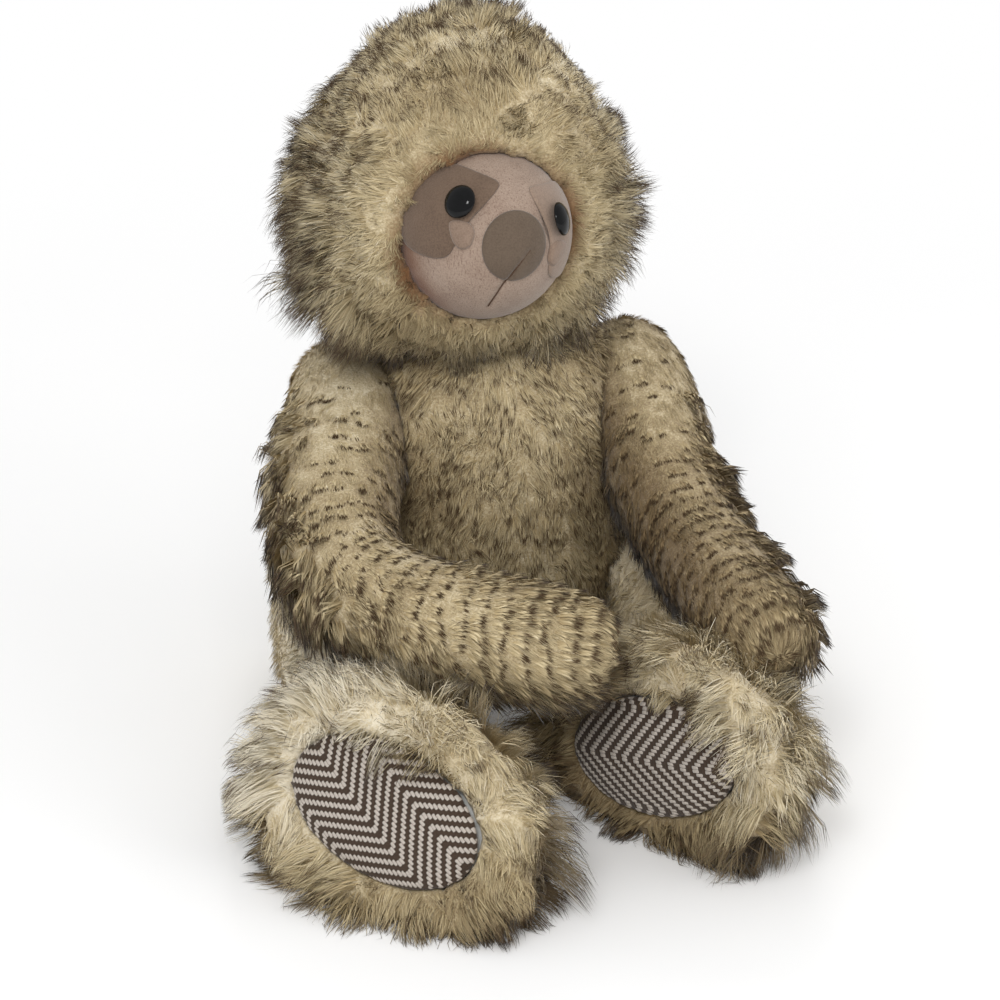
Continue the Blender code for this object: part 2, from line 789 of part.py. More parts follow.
def eye_patch_outline(side):
    points = []
    for across, up in EYE_PATCH_OUTLINE_SHARES:
        x = EYE_PATCH_SIDE - across * EYE_PATCH_WIDTH
        points.append((side * x, EYE_PATCH_UP + up * EYE_PATCH_HEIGHT))
    return points


def nose_outline():
    points = []
    for index in range(LATHE_STEPS):
        angle = math.tau * index / LATHE_STEPS
        across = math.cos(angle) * NOSE_PATCH_WIDTH / 2
        points.append((across, math.sin(angle) * NOSE_PATCH_HEIGHT / 2 - NOSE_DROP))
    return points


def mouth_stitch():
    """The sewn line from inside the nose down over the chin, lying on the velour."""
    lift = PATCH_FABRIC + 2 * CLEAR + MOUTH_THREAD / 2
    curve = bpy.data.curves.new("mouth_stitch", "CURVE")
    curve.dimensions = "3D"
    curve.bevel_depth = MOUTH_THREAD / 2
    curve.bevel_resolution = 1
    curve.use_fill_caps = True
    spline = curve.splines.new("POLY")
    spline.points.add(MOUTH_POINTS - 1)
    for index, point in enumerate(spline.points):
        share = MOUTH_TOP_SHARE + (MOUTH_BOTTOM_SHARE - MOUTH_TOP_SHARE) * index / (MOUTH_POINTS - 1)
        angle = share * math.pi / 2
        height = (FACE_NOSE_REACH + lift) * math.cos(angle)
        point.co = (0, -(FACE_RADIUS + lift) * math.sin(angle), height, 1)
    drawn = bpy.data.objects.new("mouth_stitch", curve)
    PARTS.objects.link(drawn)
    drawn.matrix_world = face_frame()
    finish(curve_to_mesh(drawn), THREAD)


def head():
    hood = head_form("hood_fur_skin", 0.0)
    hollow = as_cutter(head_form("hood_hollow", PILE_WALL))
    post_hole(hollow, JOINTS["neck"])
    boolean(hood, hollow)
    boolean(hood, as_cutter(face_plug("hood_face_opening", CLEAR)))
    finish(hood, FUR)
    panel = face_layer("face_panel", -FACE_FABRIC, 0.0)
    stuffing = head_form("head_stuffing", PILE_WALL + STUFFING_GAP)
    boolean(stuffing, as_cutter(face_plug("face_stuffing", -CLEAR)), "UNION")
    room = face_layer("face_panel_room", -FACE_FABRIC - CLEAR, CLEAR + CUT_OVERRUN, rim_extra=CLEAR)
    boolean(stuffing, as_cutter(room))
    hardware_room(stuffing, JOINTS["neck"], on_body=False)
    for word, side in (("right", -1), ("left", 1)):
        shank_cut(panel, side)
        eye_room(stuffing, side)
        patch(f"eye_patch_{word}", eye_patch_outline(side), TAUPE, side)
        eye(word, side)
    finish(panel, VELOUR)
    finish(stuffing, STUFFING)
    patch("nose_patch", nose_outline(), TAUPE)
    mouth_stitch()


def arm(word, shares):
    joint = JOINTS[f"shoulder_{word}"]
    skin = arm_form(f"arm_{word}_fur_skin", joint, shares, 0.0)
    hollow = as_cutter(arm_form(f"arm_{word}_hollow", joint, shares, PILE_WALL))
    post_hole(hollow, joint)
    boolean(skin, hollow)
    finish(skin, FUR)
    stuffing = arm_form(f"arm_{word}_stuffing", joint, shares, PILE_WALL + STUFFING_GAP)
    hardware_room(stuffing, joint, on_body=False)
    finish(stuffing, STUFFING)


def leg(word, shape):
    joint = JOINTS[f"hip_{word}"]
    skin = leg_form(f"leg_{word}_fur_skin", joint, shape, 0.0)
    hollow = as_cutter(leg_form(f"leg_{word}_hollow", joint, shape, PILE_WALL))
    post_hole(hollow, joint)
    boolean(skin, hollow)
    boolean(skin, as_cutter(sole_form(f"leg_{word}_sole_opening", joint, shape, CLEAR, CUT_OVERRUN)))
    finish(skin, FUR)
    finish(sole_form(f"sole_pad_{word}", joint, shape), TWEED)
    stuffing = leg_form(f"leg_{word}_stuffing", joint, shape, PILE_WALL + STUFFING_GAP)
    hardware_room(stuffing, joint, on_body=False)
    finish(stuffing, STUFFING)


clear_scene()
PARTS = collection("plush_sloth")
CUTTERS = collection("cutters")
FUR = material("long_pile_fur", FUR_CREAM, 0.95)
VELOUR = material("pink_velour", VELOUR_PINK, 0.9)
TAUPE = material("taupe_velour", VELOUR_TAUPE, 0.9)
TWEED = material("herringbone_tweed", TWEED_GREY, 0.9)
THREAD = material("brown_thread", FUR_BROWN, 0.8)
EYE = material("black_eye_plastic", EYE_BLACK, 0.08)
NYLON = material("white_nylon", NYLON_WHITE, 0.4)
STUFFING = material("polyester_stuffing", STUFFING_WHITE, 1.0)
BAG = material("pellet_bag_cloth", BAG_GREY, 0.9)
JOINTS = joint_list()

RIGHT_LEG = {
    "shares": RIGHT_LEG_SHARES,
    "place": RIGHT_SOLE_PLACE_SHARES,
    "facing": RIGHT_SOLE_FACING_SHARES,
    "toe": RIGHT_SOLE_TOE_SHARES,
}
LEFT_LEG = {
    "shares": LEFT_LEG_SHARES,
    "place": LEFT_SOLE_PLACE_SHARES,
    "facing": LEFT_SOLE_FACING_SHARES,
    "toe": LEFT_SOLE_TOE_SHARES,
}

torso()
head()
arm("right", RIGHT_ARM_SHARES)
arm("left", LEFT_ARM_SHARES)
leg("right", RIGHT_LEG)
leg("left", LEFT_LEG)
for each in JOINTS.values():
    joint_hardware(each)
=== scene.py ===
"""A seated plush sloth with long cream pile, brown tips, a velour face and herringbone soles."""

import json
import math

import bmesh
import bpy
import numpy as np
from mathutils import Matrix, Vector, noise
from mathutils.bvhtree import BVHTree
from mathutils.kdtree import KDTree

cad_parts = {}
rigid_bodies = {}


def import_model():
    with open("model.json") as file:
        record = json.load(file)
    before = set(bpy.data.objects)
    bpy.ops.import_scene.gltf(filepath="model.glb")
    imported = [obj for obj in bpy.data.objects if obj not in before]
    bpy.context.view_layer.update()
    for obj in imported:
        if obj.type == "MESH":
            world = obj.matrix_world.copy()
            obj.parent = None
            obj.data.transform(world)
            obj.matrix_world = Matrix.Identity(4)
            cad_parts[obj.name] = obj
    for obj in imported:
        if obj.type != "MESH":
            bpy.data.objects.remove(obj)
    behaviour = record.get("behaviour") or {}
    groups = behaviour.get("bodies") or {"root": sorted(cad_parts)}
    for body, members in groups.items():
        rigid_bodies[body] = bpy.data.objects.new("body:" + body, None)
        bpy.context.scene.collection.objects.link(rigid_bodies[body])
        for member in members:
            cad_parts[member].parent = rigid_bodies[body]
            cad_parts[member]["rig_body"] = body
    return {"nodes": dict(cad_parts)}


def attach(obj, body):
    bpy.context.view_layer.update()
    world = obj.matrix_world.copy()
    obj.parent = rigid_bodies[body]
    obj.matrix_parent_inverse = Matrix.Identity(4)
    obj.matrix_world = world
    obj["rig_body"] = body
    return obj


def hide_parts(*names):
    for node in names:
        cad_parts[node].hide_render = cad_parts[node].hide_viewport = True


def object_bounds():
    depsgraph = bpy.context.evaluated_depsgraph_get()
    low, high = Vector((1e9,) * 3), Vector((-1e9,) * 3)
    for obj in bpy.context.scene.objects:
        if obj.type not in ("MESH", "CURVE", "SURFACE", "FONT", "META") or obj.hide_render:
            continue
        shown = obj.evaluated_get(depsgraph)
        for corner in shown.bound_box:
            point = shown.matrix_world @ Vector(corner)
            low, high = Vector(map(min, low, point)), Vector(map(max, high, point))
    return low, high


for thing in list(bpy.data.objects):
    bpy.data.objects.remove(thing)
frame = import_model()
solid_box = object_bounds()

MM = 0.001

# How far fabric may stand outside the solids
PROUD_SHARE = 0.03
PROUD = 10 * MM
PROUD_SPARE = 0.8 * MM

# Head and face, as the sewn ball is set in the hood
HEAD_CENTRE = Vector((-0.013, 0, 0.2247))
HEAD_YAW = math.radians(9.4)
HEAD_PITCH = math.radians(14.8)
HEAD_ROLL = math.radians(15.5)
FACE_DROP = 20.5 * MM
FACE_FORWARD = 37 * MM
FACE_RADIUS = 35.8 * MM
FACE_REACH = 38.5 * MM
FACE_RIM_SHARE = 0.35
FACE_WALL = 1.6 * MM
FACE_WRAP_SHARE = 0.85

# Soles: centre, way it faces, way to the toes
SOLES = {
    "right": (Vector((-0.0754, -0.1902, 0.037)), Vector((-0.55, -0.72, 0.42)), Vector((-0.72, 0.67, 0.21))),
    "left": (Vector((0.0347, -0.1676, 0.037)), Vector((-0.79, -0.60, 0.00)), Vector((0.56, -0.76, 0.33))),
}

# Tweed: width of one yarn, yarns in a column, length of one UV unit,
# and for each foot its slant, stretch and shift
YARN = 1.35 * MM
HERRINGBONE_ENDS = 14
WEAVE_SPAN = 0.1
YARN_RISE = 0.35 * MM
WEAVE_CUTS = {"right": (math.radians(-24), 1.0, -5 * MM), "left": (math.radians(-6), 1.12, 0.0)}

# Middle lines of the limbs in mm, from the joint to the paw
ARM_ROUTES = {
    "right": ((-59, 25, 130), (-62, -5, 123), (-71, -39, 114), (-78, -76, 102), (-76, -108, 92),
              (-52, -137, 90), (-21, -155, 89), (4, -167, 88), (15, -171, 88)),
    "left": ((59, 25, 130), (62, -5, 123), (61, -41, 112), (65, -78, 100), (70, -115, 91),
             (75, -147, 89), (80, -170, 88), (81, -181, 88)),
}
LEG_ROUTES = {
    "right": ((-66, 27, 45), (-67, 0, 44), (-71, -41, 40), (-74, -85, 37), (-62, -150, 28), (-75, -190, 37)),
    "left": ((66, 27, 45), (67, 0, 44), (72, -37, 40), (71, -78, 37), (68, -136, 37), (35, -168, 37)),
}

# Pile: strand width, how deep a root sits, least rise from the skin, and how it is shaded
PILE_WIDTH = 0.27 * MM
PILE_SINK = 0.6 * MM
LEAST_RISE = 0.12
SOFT_SHARE = 0.85
SPOT_LIFT = 0.12
JITTER = 0.22
CRISP_JITTER = 0.12
TONES = 16
TIP_REACH = 0.6
TRIANGLES_PER_PIECE = 190000

# Room round the pile: how far the next skin is looked for, and where strands are pressed down or thinned
CLEAR_REACH = 14 * MM
PRESSED_FROM = 2 * MM
PRESSED_TO = 12 * MM
THIN_BELOW = 1.2 * MM
THIN_SHARE = 0.35
EDGE_FROM = 0.5 * MM
EDGE_TO = 7 * MM
GROUND_CLEARANCE = 0.15 * MM

# Skin and underfur: mesh size, height as a share of the pile, its limits, and how thick a skin can be
SKIN_VOXEL = 2.4 * MM
UNDERFUR_SHARE = 0.30
UNDERFUR_LIMIT = 2.8 * MM
UNDERFUR_ROOM = 0.4
UNDERFUR_EDGE = 0.8 * MM
INNER_REACH = 5 * MM


def unit(vectors):
    """The vectors at length one."""
    return vectors / np.maximum(np.linalg.norm(vectors, axis=-1, keepdims=True), 1e-9)


def smooth(low, high, value):
    """A soft step from 0 at low to 1 at high."""
    share = np.clip((value - low) / (high - low), 0, 1)
    return share * share * (3 - 2 * share)


def head_turn():
    """The head's own axes: X to the toy's left, Y up, Z out of the nose."""
    upright = Matrix(((1, 0, 0), (0, 0, -1), (0, 1, 0)))
    turn = Matrix.Rotation(HEAD_YAW, 3, "Z") @ Matrix.Rotation(-HEAD_PITCH, 3, "X")
    turn = turn @ Matrix.Rotation(HEAD_ROLL, 3, "Y")
    return (turn @ upright).to_4x4()


FACE = Matrix.Translation(HEAD_CENTRE) @ head_turn() @ Matrix.Translation((0, -FACE_DROP, FACE_FORWARD))


def sole_frame(side):
    """A sole's place, with Z out of it and X to the toes."""
    centre, facing, toe = SOLES[side]
    out = facing.normalized()
    along = (toe - out * toe.dot(out)).normalized()
    return Matrix.Translation(centre) @ Matrix((along, out.cross(along), out)).transposed().to_4x4()


# Materials

def new_material(name):
    made = bpy.data.materials.new(name)
    made.use_nodes = True
    return made, made.node_tree, made.node_tree.nodes["Principled BSDF"]


def add(tree, kind, **settings):
    """A node, with its settings and its sockets' values. A value that is a socket is linked."""
    node = tree.nodes.new(kind)
    for key, value in settings.items():
        if key == "inputs":
            continue
        setattr(node, key, value)
    for key, value in settings.get("inputs", {}).items():
        if isinstance(value, bpy.types.NodeSocket):
            tree.links.new(value, node.inputs[key])
        else:
            node.inputs[key].default_value = value
    return node


def maths(tree, operation, *values, clamp=False):
    node = add(tree, "ShaderNodeMath", operation=operation, use_clamp=clamp, inputs=dict(enumerate(values)))
    return node.outputs[0]


def mix_colour(tree, factor, first, second):
    return add(tree, "ShaderNodeMix", data_type="RGBA", inputs={0: factor, 6: first, 7: second}).outputs[2]


def own_place(tree):
    """The place on the piece, in its Object coordinates."""
    return add(tree, "ShaderNodeTexCoord").outputs["Object"]


def mottle(tree, place, scale, detail=2.0):
    """Uneven grey from 0 to 1 over the place."""
    inputs = {"Vector": place, "Scale": scale, "Detail": detail}
    return add(tree, "ShaderNodeTexNoise", inputs=inputs).outputs[0]


def marked(tree, name):
    """A value that the piece's mesh is marked with."""
    return add(tree, "ShaderNodeAttribute", attribute_name=name).outputs["Fac"]


def raised(tree, shader, height, strength, distance):
    """Gives the surface a fine relief."""
    bump = add(tree, "ShaderNodeBump", inputs={"Strength": strength, "Distance": distance, "Height": height})
    tree.links.new(bump.outputs[0], shader.inputs["Normal"])


def set_shader(shader, **values):
    """Sets the shader's own sockets, named with _ for a space."""
    for name, value in values.items():
        shader.inputs[name.replace("_", " ")].default_value = value


def ramp(tree, factor, stops):
    node = tree.nodes.new("ShaderNodeValToRGB")
    points = node.color_ramp.elements
    while len(points) < len(stops):
        points.new(0.5)
    for point, (place, colour) in zip(points, stops):
        point.position = place
        point.color = colour
    tree.links.new(factor, node.inputs[0])
    return node.outputs[0]


def soft_step(tree, value, low, high):
    node = add(tree, "ShaderNodeMapRange", interpolation_type="SMOOTHSTEP",
               inputs={"Value": value, "From Min": low, "From Max": high})
    return node.outputs[0]


def paint(red, green, blue):
    """A colour as the eye reads it, 0 to 255, made linear."""
    shades = (((c / 255 + 0.055) / 1.055) ** 2.4 if c > 10 else c / 3294 for c in (red, green, blue))
    return (*shades, 1)


BROWN_TIP = paint(76, 59, 40)
RUST = paint(116, 78, 48)


def pile_material():
    """Long pile: its tone and the darkness of its tip are read from U, and the place along it from V."""
    made, tree, shader = new_material("long_pile_fibre")
    place = add(tree, "ShaderNodeSeparateXYZ",
                inputs={0: add(tree, "ShaderNodeUVMap", uv_map="OFBake").outputs[0]})
    across, along = place.outputs[0], place.outputs[1]
    bands = maths(tree, "MULTIPLY", across, float(TONES))
    tone = maths(tree, "DIVIDE", maths(tree, "FLOOR", bands), float(TONES - 1))
    darkness = maths(tree, "FRACT", bands)
    body = ramp(tree, tone, (
        (0.0, paint(236, 227, 206)), (0.3, paint(214, 198, 160)),
        (0.6, paint(178, 160, 124)), (1.0, paint(128, 108, 78)),
    ))
    # The roots are painted darker than the shaft, as painted shade deep in the pile.
    root = ramp(tree, tone, (
        (0.0, paint(218, 202, 164)), (0.5, paint(176, 154, 112)), (1.0, paint(104, 84, 58)),
    ))
    shaft = mix_colour(tree, soft_step(tree, along, 0.05, 0.55), root, body)
    start = maths(tree, "SUBTRACT", 1.0, maths(tree, "MULTIPLY", darkness, TIP_REACH))
    reach = maths(tree, "DIVIDE", maths(tree, "SUBTRACT", along, start), 0.16, clamp=True)
    tip = maths(tree, "MULTIPLY", reach, soft_step(tree, darkness, 0.10, 0.20))
    colour = mix_colour(tree, tip, shaft, BROWN_TIP)
    tree.links.new(colour, shader.inputs["Base Color"])
    set_shader(shader, Roughness=0.7, Specular_IOR_Level=0.2, Sheen_Weight=0.1, Sheen_Roughness=0.4)
    return made


def underfur_material():
    """The woolly underfur that the long hairs stand in: its tone, painted shade from the pile's rules
    included, is marked on the skin.
    """
    made, tree, shader = new_material("woolly_underfur")
    place = own_place(tree)
    cloudy = mottle(tree, place, 120.0, 4.0)
    fibre = mottle(tree, place, 1100.0, 3.0)
    uneven = maths(tree, "ADD", maths(tree, "MULTIPLY", maths(tree, "SUBTRACT", cloudy, 0.5), 0.7),
                   maths(tree, "MULTIPLY", maths(tree, "SUBTRACT", fibre, 0.5), 0.9))
    tone = maths(tree, "ADD", marked(tree, "tone"), uneven, clamp=True)
    wool = ramp(tree, tone, (
        (0.0, paint(232, 222, 200)), (0.3, paint(208, 193, 160)),
        (0.6, paint(170, 152, 118)), (1.0, paint(118, 99, 72)),
    ))
    tree.links.new(mix_colour(tree, marked(tree, "stain"), wool, RUST), shader.inputs["Base Color"])
    raised(tree, shader, fibre, 0.7, 0.8 * MM)
    set_shader(shader, Roughness=0.95, Specular_IOR_Level=0.1, Sheen_Weight=0.15, Sheen_Roughness=0.6)
    return made


def nap_group():
    """Short velour nap: a colour with fine grain, streaks along Z and a height."""
    group = bpy.data.node_groups.new("velour_nap", "ShaderNodeTree")
    for name, kind, way in (
        ("Colour", "NodeSocketColor", "INPUT"), ("Shade", "NodeSocketColor", "INPUT"),
        ("Streaks", "NodeSocketFloat", "INPUT"), ("Colour", "NodeSocketColor", "OUTPUT"),
        ("Height", "NodeSocketFloat", "OUTPUT"), ("Roughness", "NodeSocketFloat", "OUTPUT"),
    ):
        group.interface.new_socket(name, in_out=way, socket_type=kind)
    given = group.nodes.new("NodeGroupInput")
    out = group.nodes.new("NodeGroupOutput")
    place = own_place(group)
    grain = mottle(group, place, 1500.0, 3.0)
    patchy = mottle(group, place, 90.0, 3.0)
    drawn = add(group, "ShaderNodeMapping", inputs={"Vector": place, "Scale": (2200.0, 2200.0, 330.0)})
    streak = mottle(group, drawn.outputs[0], 1.0)
    streak_mask = maths(group, "MULTIPLY", soft_step(group, streak, 0.56, 0.70), given.outputs["Streaks"])
    grain_mask = maths(group, "MULTIPLY", soft_step(group, grain, 0.35, 0.72), 0.45)
    patch_mask = maths(group, "MULTIPLY", soft_step(group, patchy, 0.35, 0.75), 0.30)
    mask = maths(group, "ADD", maths(group, "ADD", grain_mask, patch_mask), streak_mask, clamp=True)
    colour = mix_colour(group, mask, given.outputs["Colour"], given.outputs["Shade"])
    group.links.new(colour, out.inputs["Colour"])
    group.links.new(maths(group, "ADD", grain, streak), out.inputs["Height"])
    group.links.new(maths(group, "ADD", maths(group, "MULTIPLY", grain, 0.2), 0.72), out.inputs["Roughness"])
    return group


NAP = nap_group()


def velour_material(name, colour, shade, streaks, rim_colour=None):
    """Velour in one colour. With a rim colour, the piece's spray marks let in the rust round the face."""
    made, tree, shader = new_material(name)
    inputs = {"Colour": colour, "Shade": shade, "Streaks": streaks}
    nap = add(tree, "ShaderNodeGroup", node_tree=NAP, inputs=inputs)
    top = nap.outputs["Colour"]
    if rim_colour:
        cloud = maths(tree, "MULTIPLY", mottle(tree, own_place(tree), 140.0, 4.0), 0.7)
        cloud = maths(tree, "ADD", cloud, 0.6)
        sprayed = maths(tree, "MULTIPLY", marked(tree, "spray"), cloud, clamp=True)
        top = mix_colour(tree, sprayed, top, rim_colour)
    tree.links.new(top, shader.inputs["Base Color"])
    tree.links.new(nap.outputs["Roughness"], shader.inputs["Roughness"])
    raised(tree, shader, nap.outputs["Height"], 0.55, 0.25 * MM)
    set_shader(shader, Sheen_Weight=0.35, Sheen_Roughness=0.45, Specular_IOR_Level=0.2)
    return made


def tweed_material():
    """Two by two herringbone: off-white floats along the sole over dark brown ones across it."""
    made, tree, shader = new_material("sole_tweed")
    weave = add(tree, "ShaderNodeUVMap", uv_map="weave").outputs[0]
    flat = add(tree, "ShaderNodeSeparateXYZ", inputs={0: weave})
    place = own_place(tree)
    uneven = maths(tree, "MULTIPLY", maths(tree, "SUBTRACT", mottle(tree, place, 400.0), 0.5), 0.45)
    yarns = 1 / YARN * WEAVE_SPAN
    along = maths(tree, "ADD", maths(tree, "MULTIPLY", flat.outputs[0], yarns), uneven)
    across = maths(tree, "ADD", maths(tree, "MULTIPLY", flat.outputs[1], yarns), uneven)
    column = maths(tree, "FLOOR", maths(tree, "PINGPONG", across, float(HERRINGBONE_ENDS)))
    phase = maths(tree, "FLOORED_MODULO", maths(tree, "SUBTRACT", along, column), 4.0)
    on_light = maths(tree, "LESS_THAN", phase, 2.0)
    off_middle = maths(tree, "SUBTRACT", maths(tree, "MULTIPLY", maths(tree, "FRACT", across), 2.0), 1.0)
    crown = maths(tree, "SUBTRACT", 1.0, maths(tree, "POWER", maths(tree, "ABSOLUTE", off_middle), 2.5))
    swell_along = maths(tree, "ABSOLUTE", maths(tree, "SINE", maths(tree, "MULTIPLY", phase, math.pi / 2)))
    along_light = maths(tree, "MULTIPLY", on_light, maths(tree, "POWER", swell_along, 0.6))
    light = maths(tree, "MULTIPLY", crown, along_light)
    fibre = mottle(tree, place, 2600.0, 4.0)
    dark = mix_colour(tree, fibre, paint(34, 26, 20), paint(84, 68, 56))
    pale = mix_colour(tree, fibre, paint(152, 142, 132), paint(206, 198, 189))
    colour = mix_colour(tree, soft_step(tree, light, 0.04, 0.32), dark, pale)
    tree.links.new(colour, shader.inputs["Base Color"])
    raised(tree, shader, maths(tree, "ADD", light, maths(tree, "MULTIPLY", fibre, 0.35)), 0.6, YARN_RISE)
    set_shader(shader, Roughness=0.9, Specular_IOR_Level=0.2, Sheen_Weight=0.2)
    return made


def eye_material():
    """Black safety-eye plastic, glossy under a thin haze."""
    made, tree, shader = new_material("black_eye_gloss")
    haze = mottle(tree, own_place(tree), 700.0, 5.0)
    tree.links.new(mix_colour(tree, haze, paint(8, 8, 9), paint(17, 18, 19)), shader.inputs["Base Color"])
    tree.links.new(maths(tree, "ADD", maths(tree, "MULTIPLY", haze, 0.10), 0.04), shader.inputs["Roughness"])
    set_shader(shader, Specular_IOR_Level=0.22)
    return made


def grained_material(name, low, high, scale, roughness):
    """A plain finish with fine mottling, for the pieces inside and the thread."""
    made, tree, shader = new_material(name)
    grain = mottle(tree, own_place(tree), scale, 4.0)
    tree.links.new(mix_colour(tree, grain, low, high), shader.inputs["Base Color"])
    raised(tree, shader, grain, 0.4, 0.4 * MM)
    set_shader(shader, Roughness=roughness)
    return made


def use(piece, finish):
    piece.data.materials.clear()
    piece.data.materials.append(finish)


# Mesh tools

def deselect():
    if bpy.context.object and bpy.context.object.mode != "OBJECT":
        bpy.ops.object.mode_set(mode="OBJECT")
    bpy.ops.object.select_all(action="DESELECT")


def activate(piece):
    deselect()
    piece.select_set(True)
    bpy.context.view_layer.objects.active = piece


def named(name):
    piece = bpy.context.object
    piece.name = name
    piece.data.name = name
    return piece


def settle(piece, place):
    """Moves the mesh to its place and leaves the object at the origin."""
    piece.data.transform(place)
    piece.matrix_world = Matrix.Identity(4)
    piece.data.update()


def modify(piece, kind, **settings):
    """Adds a modifier and applies it."""
    activate(piece)
    made = piece.modifiers.new(kind.lower(), kind)
    for key, value in settings.items():
        setattr(made, key, value)
    bpy.ops.object.modifier_apply(modifier=made.name)


def copy_of(node, name):
    """The CAD node's shape as one closed mesh of its own."""
    piece = bpy.data.objects.new(name, frame["nodes"][node].data.copy())
    bpy.context.scene.collection.objects.link(piece)
    piece.data.name = name
    activate(piece)
    bpy.ops.object.mode_set(mode="EDIT")
    bpy.ops.mesh.select_all(action="SELECT")
    bpy.ops.mesh.remove_doubles(threshold=0.01 * MM)
    bpy.ops.object.mode_set(mode="OBJECT")
    return piece


def vertices_of(mesh):
    places = np.empty(len(mesh.vertices) * 3, np.float32)
    mesh.vertices.foreach_get("co", places)
    return places.reshape(-1, 3).astype(float)


def normals_of(mesh):
    normals = np.empty(len(mesh.vertices) * 3, np.float32)
    mesh.vertices.foreach_get("normal", normals)
    return normals.reshape(-1, 3).astype(float)


def set_vertices(mesh, places):
    mesh.vertices.foreach_set("co", places.astype(np.float32).ravel())
    mesh.update()


def mark(mesh, name, values):
    """Marks the points of a mesh with a value each, for its material to read."""
    made = mesh.attributes.new(name, "FLOAT", "POINT")
    made.data.foreach_set("value", np.broadcast_to(values, len(mesh.vertices)).astype(np.float32))


def swell(piece, pressure, cap, frames=16):
    """Fills a sewn form: cloth under pressure, with no point moved further than the cap."""
    before = vertices_of(piece.data)
    activate(piece)
    cloth = piece.modifiers.new("filling", "CLOTH")
    cloth.settings.use_pressure = True
    cloth.settings.uniform_pressure_force = pressure
    cloth.settings.effector_weights.gravity = 0
    for step in range(1, frames + 1):
        bpy.context.scene.frame_set(step)
    shaped = piece.evaluated_get(bpy.context.evaluated_depsgraph_get())
    after = vertices_of(shaped.data)
    piece.modifiers.remove(cloth)
    bpy.context.scene.frame_set(1)
    move = after - before
    far = np.linalg.norm(move, axis=1, keepdims=True)
    set_vertices(piece.data, before + move * np.minimum(1, cap / np.maximum(far, 1e-9)))


# Pile

class Route:
    """The middle line of a limb, cut into short steps."""

    def __init__(self, points, steps=8):
        marks = np.array(points, float) * MM
        dense = [marks[0]]
        for a, b in zip(marks[:-1], marks[1:]):
            dense += [a + (b - a) * k / steps for k in range(1, steps + 1)]
        line = np.array(dense)
        for _ in range(6):
            line[1:-1] = (line[:-2] + 2 * line[1:-1] + line[2:]) / 4
        self.line = line
        self.along = unit(np.gradient(line, axis=0))
        self.reach = np.concatenate([[0], np.cumsum(np.linalg.norm(np.diff(line, axis=0), axis=1))])
        self.tree = KDTree(len(line))
        for index, point in enumerate(line):
            self.tree.insert(point, index)
        self.tree.balance()

    def read(self, places):
        """For each place: distance down the limb, direction there and angle round it."""
        index = np.array([self.tree.find(p)[1] for p in places])
        along = self.along[index]
        offset = places - self.line[index]
        slide = np.sum(offset * along, axis=1)
        distance = self.reach[index] + slide
        out = offset - along * slide[:, None]
        up = np.array((0, 0, 1.0))
        side = unit(np.cross(along, up))
        over = np.cross(side, along)
        turn = np.arctan2(np.sum(out * over, axis=1), np.sum(out * side, axis=1))
        return distance, along, turn


def outer_points(places, normals, inner):
    """Which points are on a skin's outer face: straight out of its inner face lies the stuffing."""
    tree = BVHTree.FromObject(frame["nodes"][inner], bpy.context.evaluated_depsgraph_get())
    casts = (tree.ray_cast(Vector(p), Vector(n), INNER_REACH) for p, n in zip(places, normals))
    return np.array([cast[3] is None for cast in casts])


def outer_triangles(skin, inner):
    """The triangles of a skin's outer face."""
    mesh = skin.data
    mesh.calc_loop_triangles()
    corners = np.empty(len(mesh.loop_triangles) * 3, np.int32)
    mesh.loop_triangles.foreach_get("vertices", corners)
    places = vertices_of(mesh)
    normals = normals_of(mesh)
    outer = outer_points(places, normals, inner)
    corners = corners.reshape(-1, 3)
    return places, normals, corners[np.all(outer[corners], axis=1)]


def scatter(skin, inner, count, rng):
    """Roots spread evenly over a skin's outer face, and the way out at each."""
    places, normals, corners = outer_triangles(skin, inner)
    a, b, c = (places[corners[:, k]] for k in range(3))
    area = np.linalg.norm(np.cross(b - a, c - a), axis=1)
    chosen = rng.choice(len(corners), count, p=area / area.sum())
    u, v = rng.random((2, count))
    over = u + v > 1
    u[over], v[over] = 1 - u[over], 1 - v[over]
    shares = np.stack([1 - u - v, u, v], axis=1)[:, :, None]
    picked = corners[chosen]
    return (places[picked] * shares).sum(1), unit((normals[picked] * shares).sum(1)), area.sum() / 2


def surface_of(names):
    """The named solids as one surface to measure from."""
    points, faces = [], []
    for name in names:
        mesh = frame["nodes"][name].data
        start = len(points)
        points += [v.co.copy() for v in mesh.vertices]
        faces += [[start + k for k in p.vertices] for p in mesh.polygons]
    return BVHTree.FromPolygons(points, faces)


def other_skins(body):
    """What stands round a body: every fur skin, pad and face on the other bodies."""
    soft = [n for n in frame["nodes"] if n.endswith("_fur_skin") or n.startswith(("sole_pad", "face_panel"))]
    return surface_of([name for name in soft if frame["nodes"][name]["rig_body"] != body])


def beside_gap(places, nodes):
    """How far each place is from the face or pad that the pile lies beside."""
    near = surface_of(nodes)
    return np.array([near.find_nearest(Vector(p))[3] for p in places])


def gather(points, groups, pull):
    """Draws each strand's points towards the middle of its group."""
    _, index, counts = np.unique(groups, return_inverse=True, return_counts=True)
    last = points.shape[1] - 1
    pull = np.broadcast_to(pull, len(points))
    for step in range(1, last + 1):
        sums = np.stack([np.bincount(index, points[:, step, k]) for k in range(3)], axis=1)
        middle = sums / counts[:, None]
        share = (pull * (step / last) ** 1.6)[:, None]
        points[:, step] += share * (middle[index] - points[:, step])
    return points


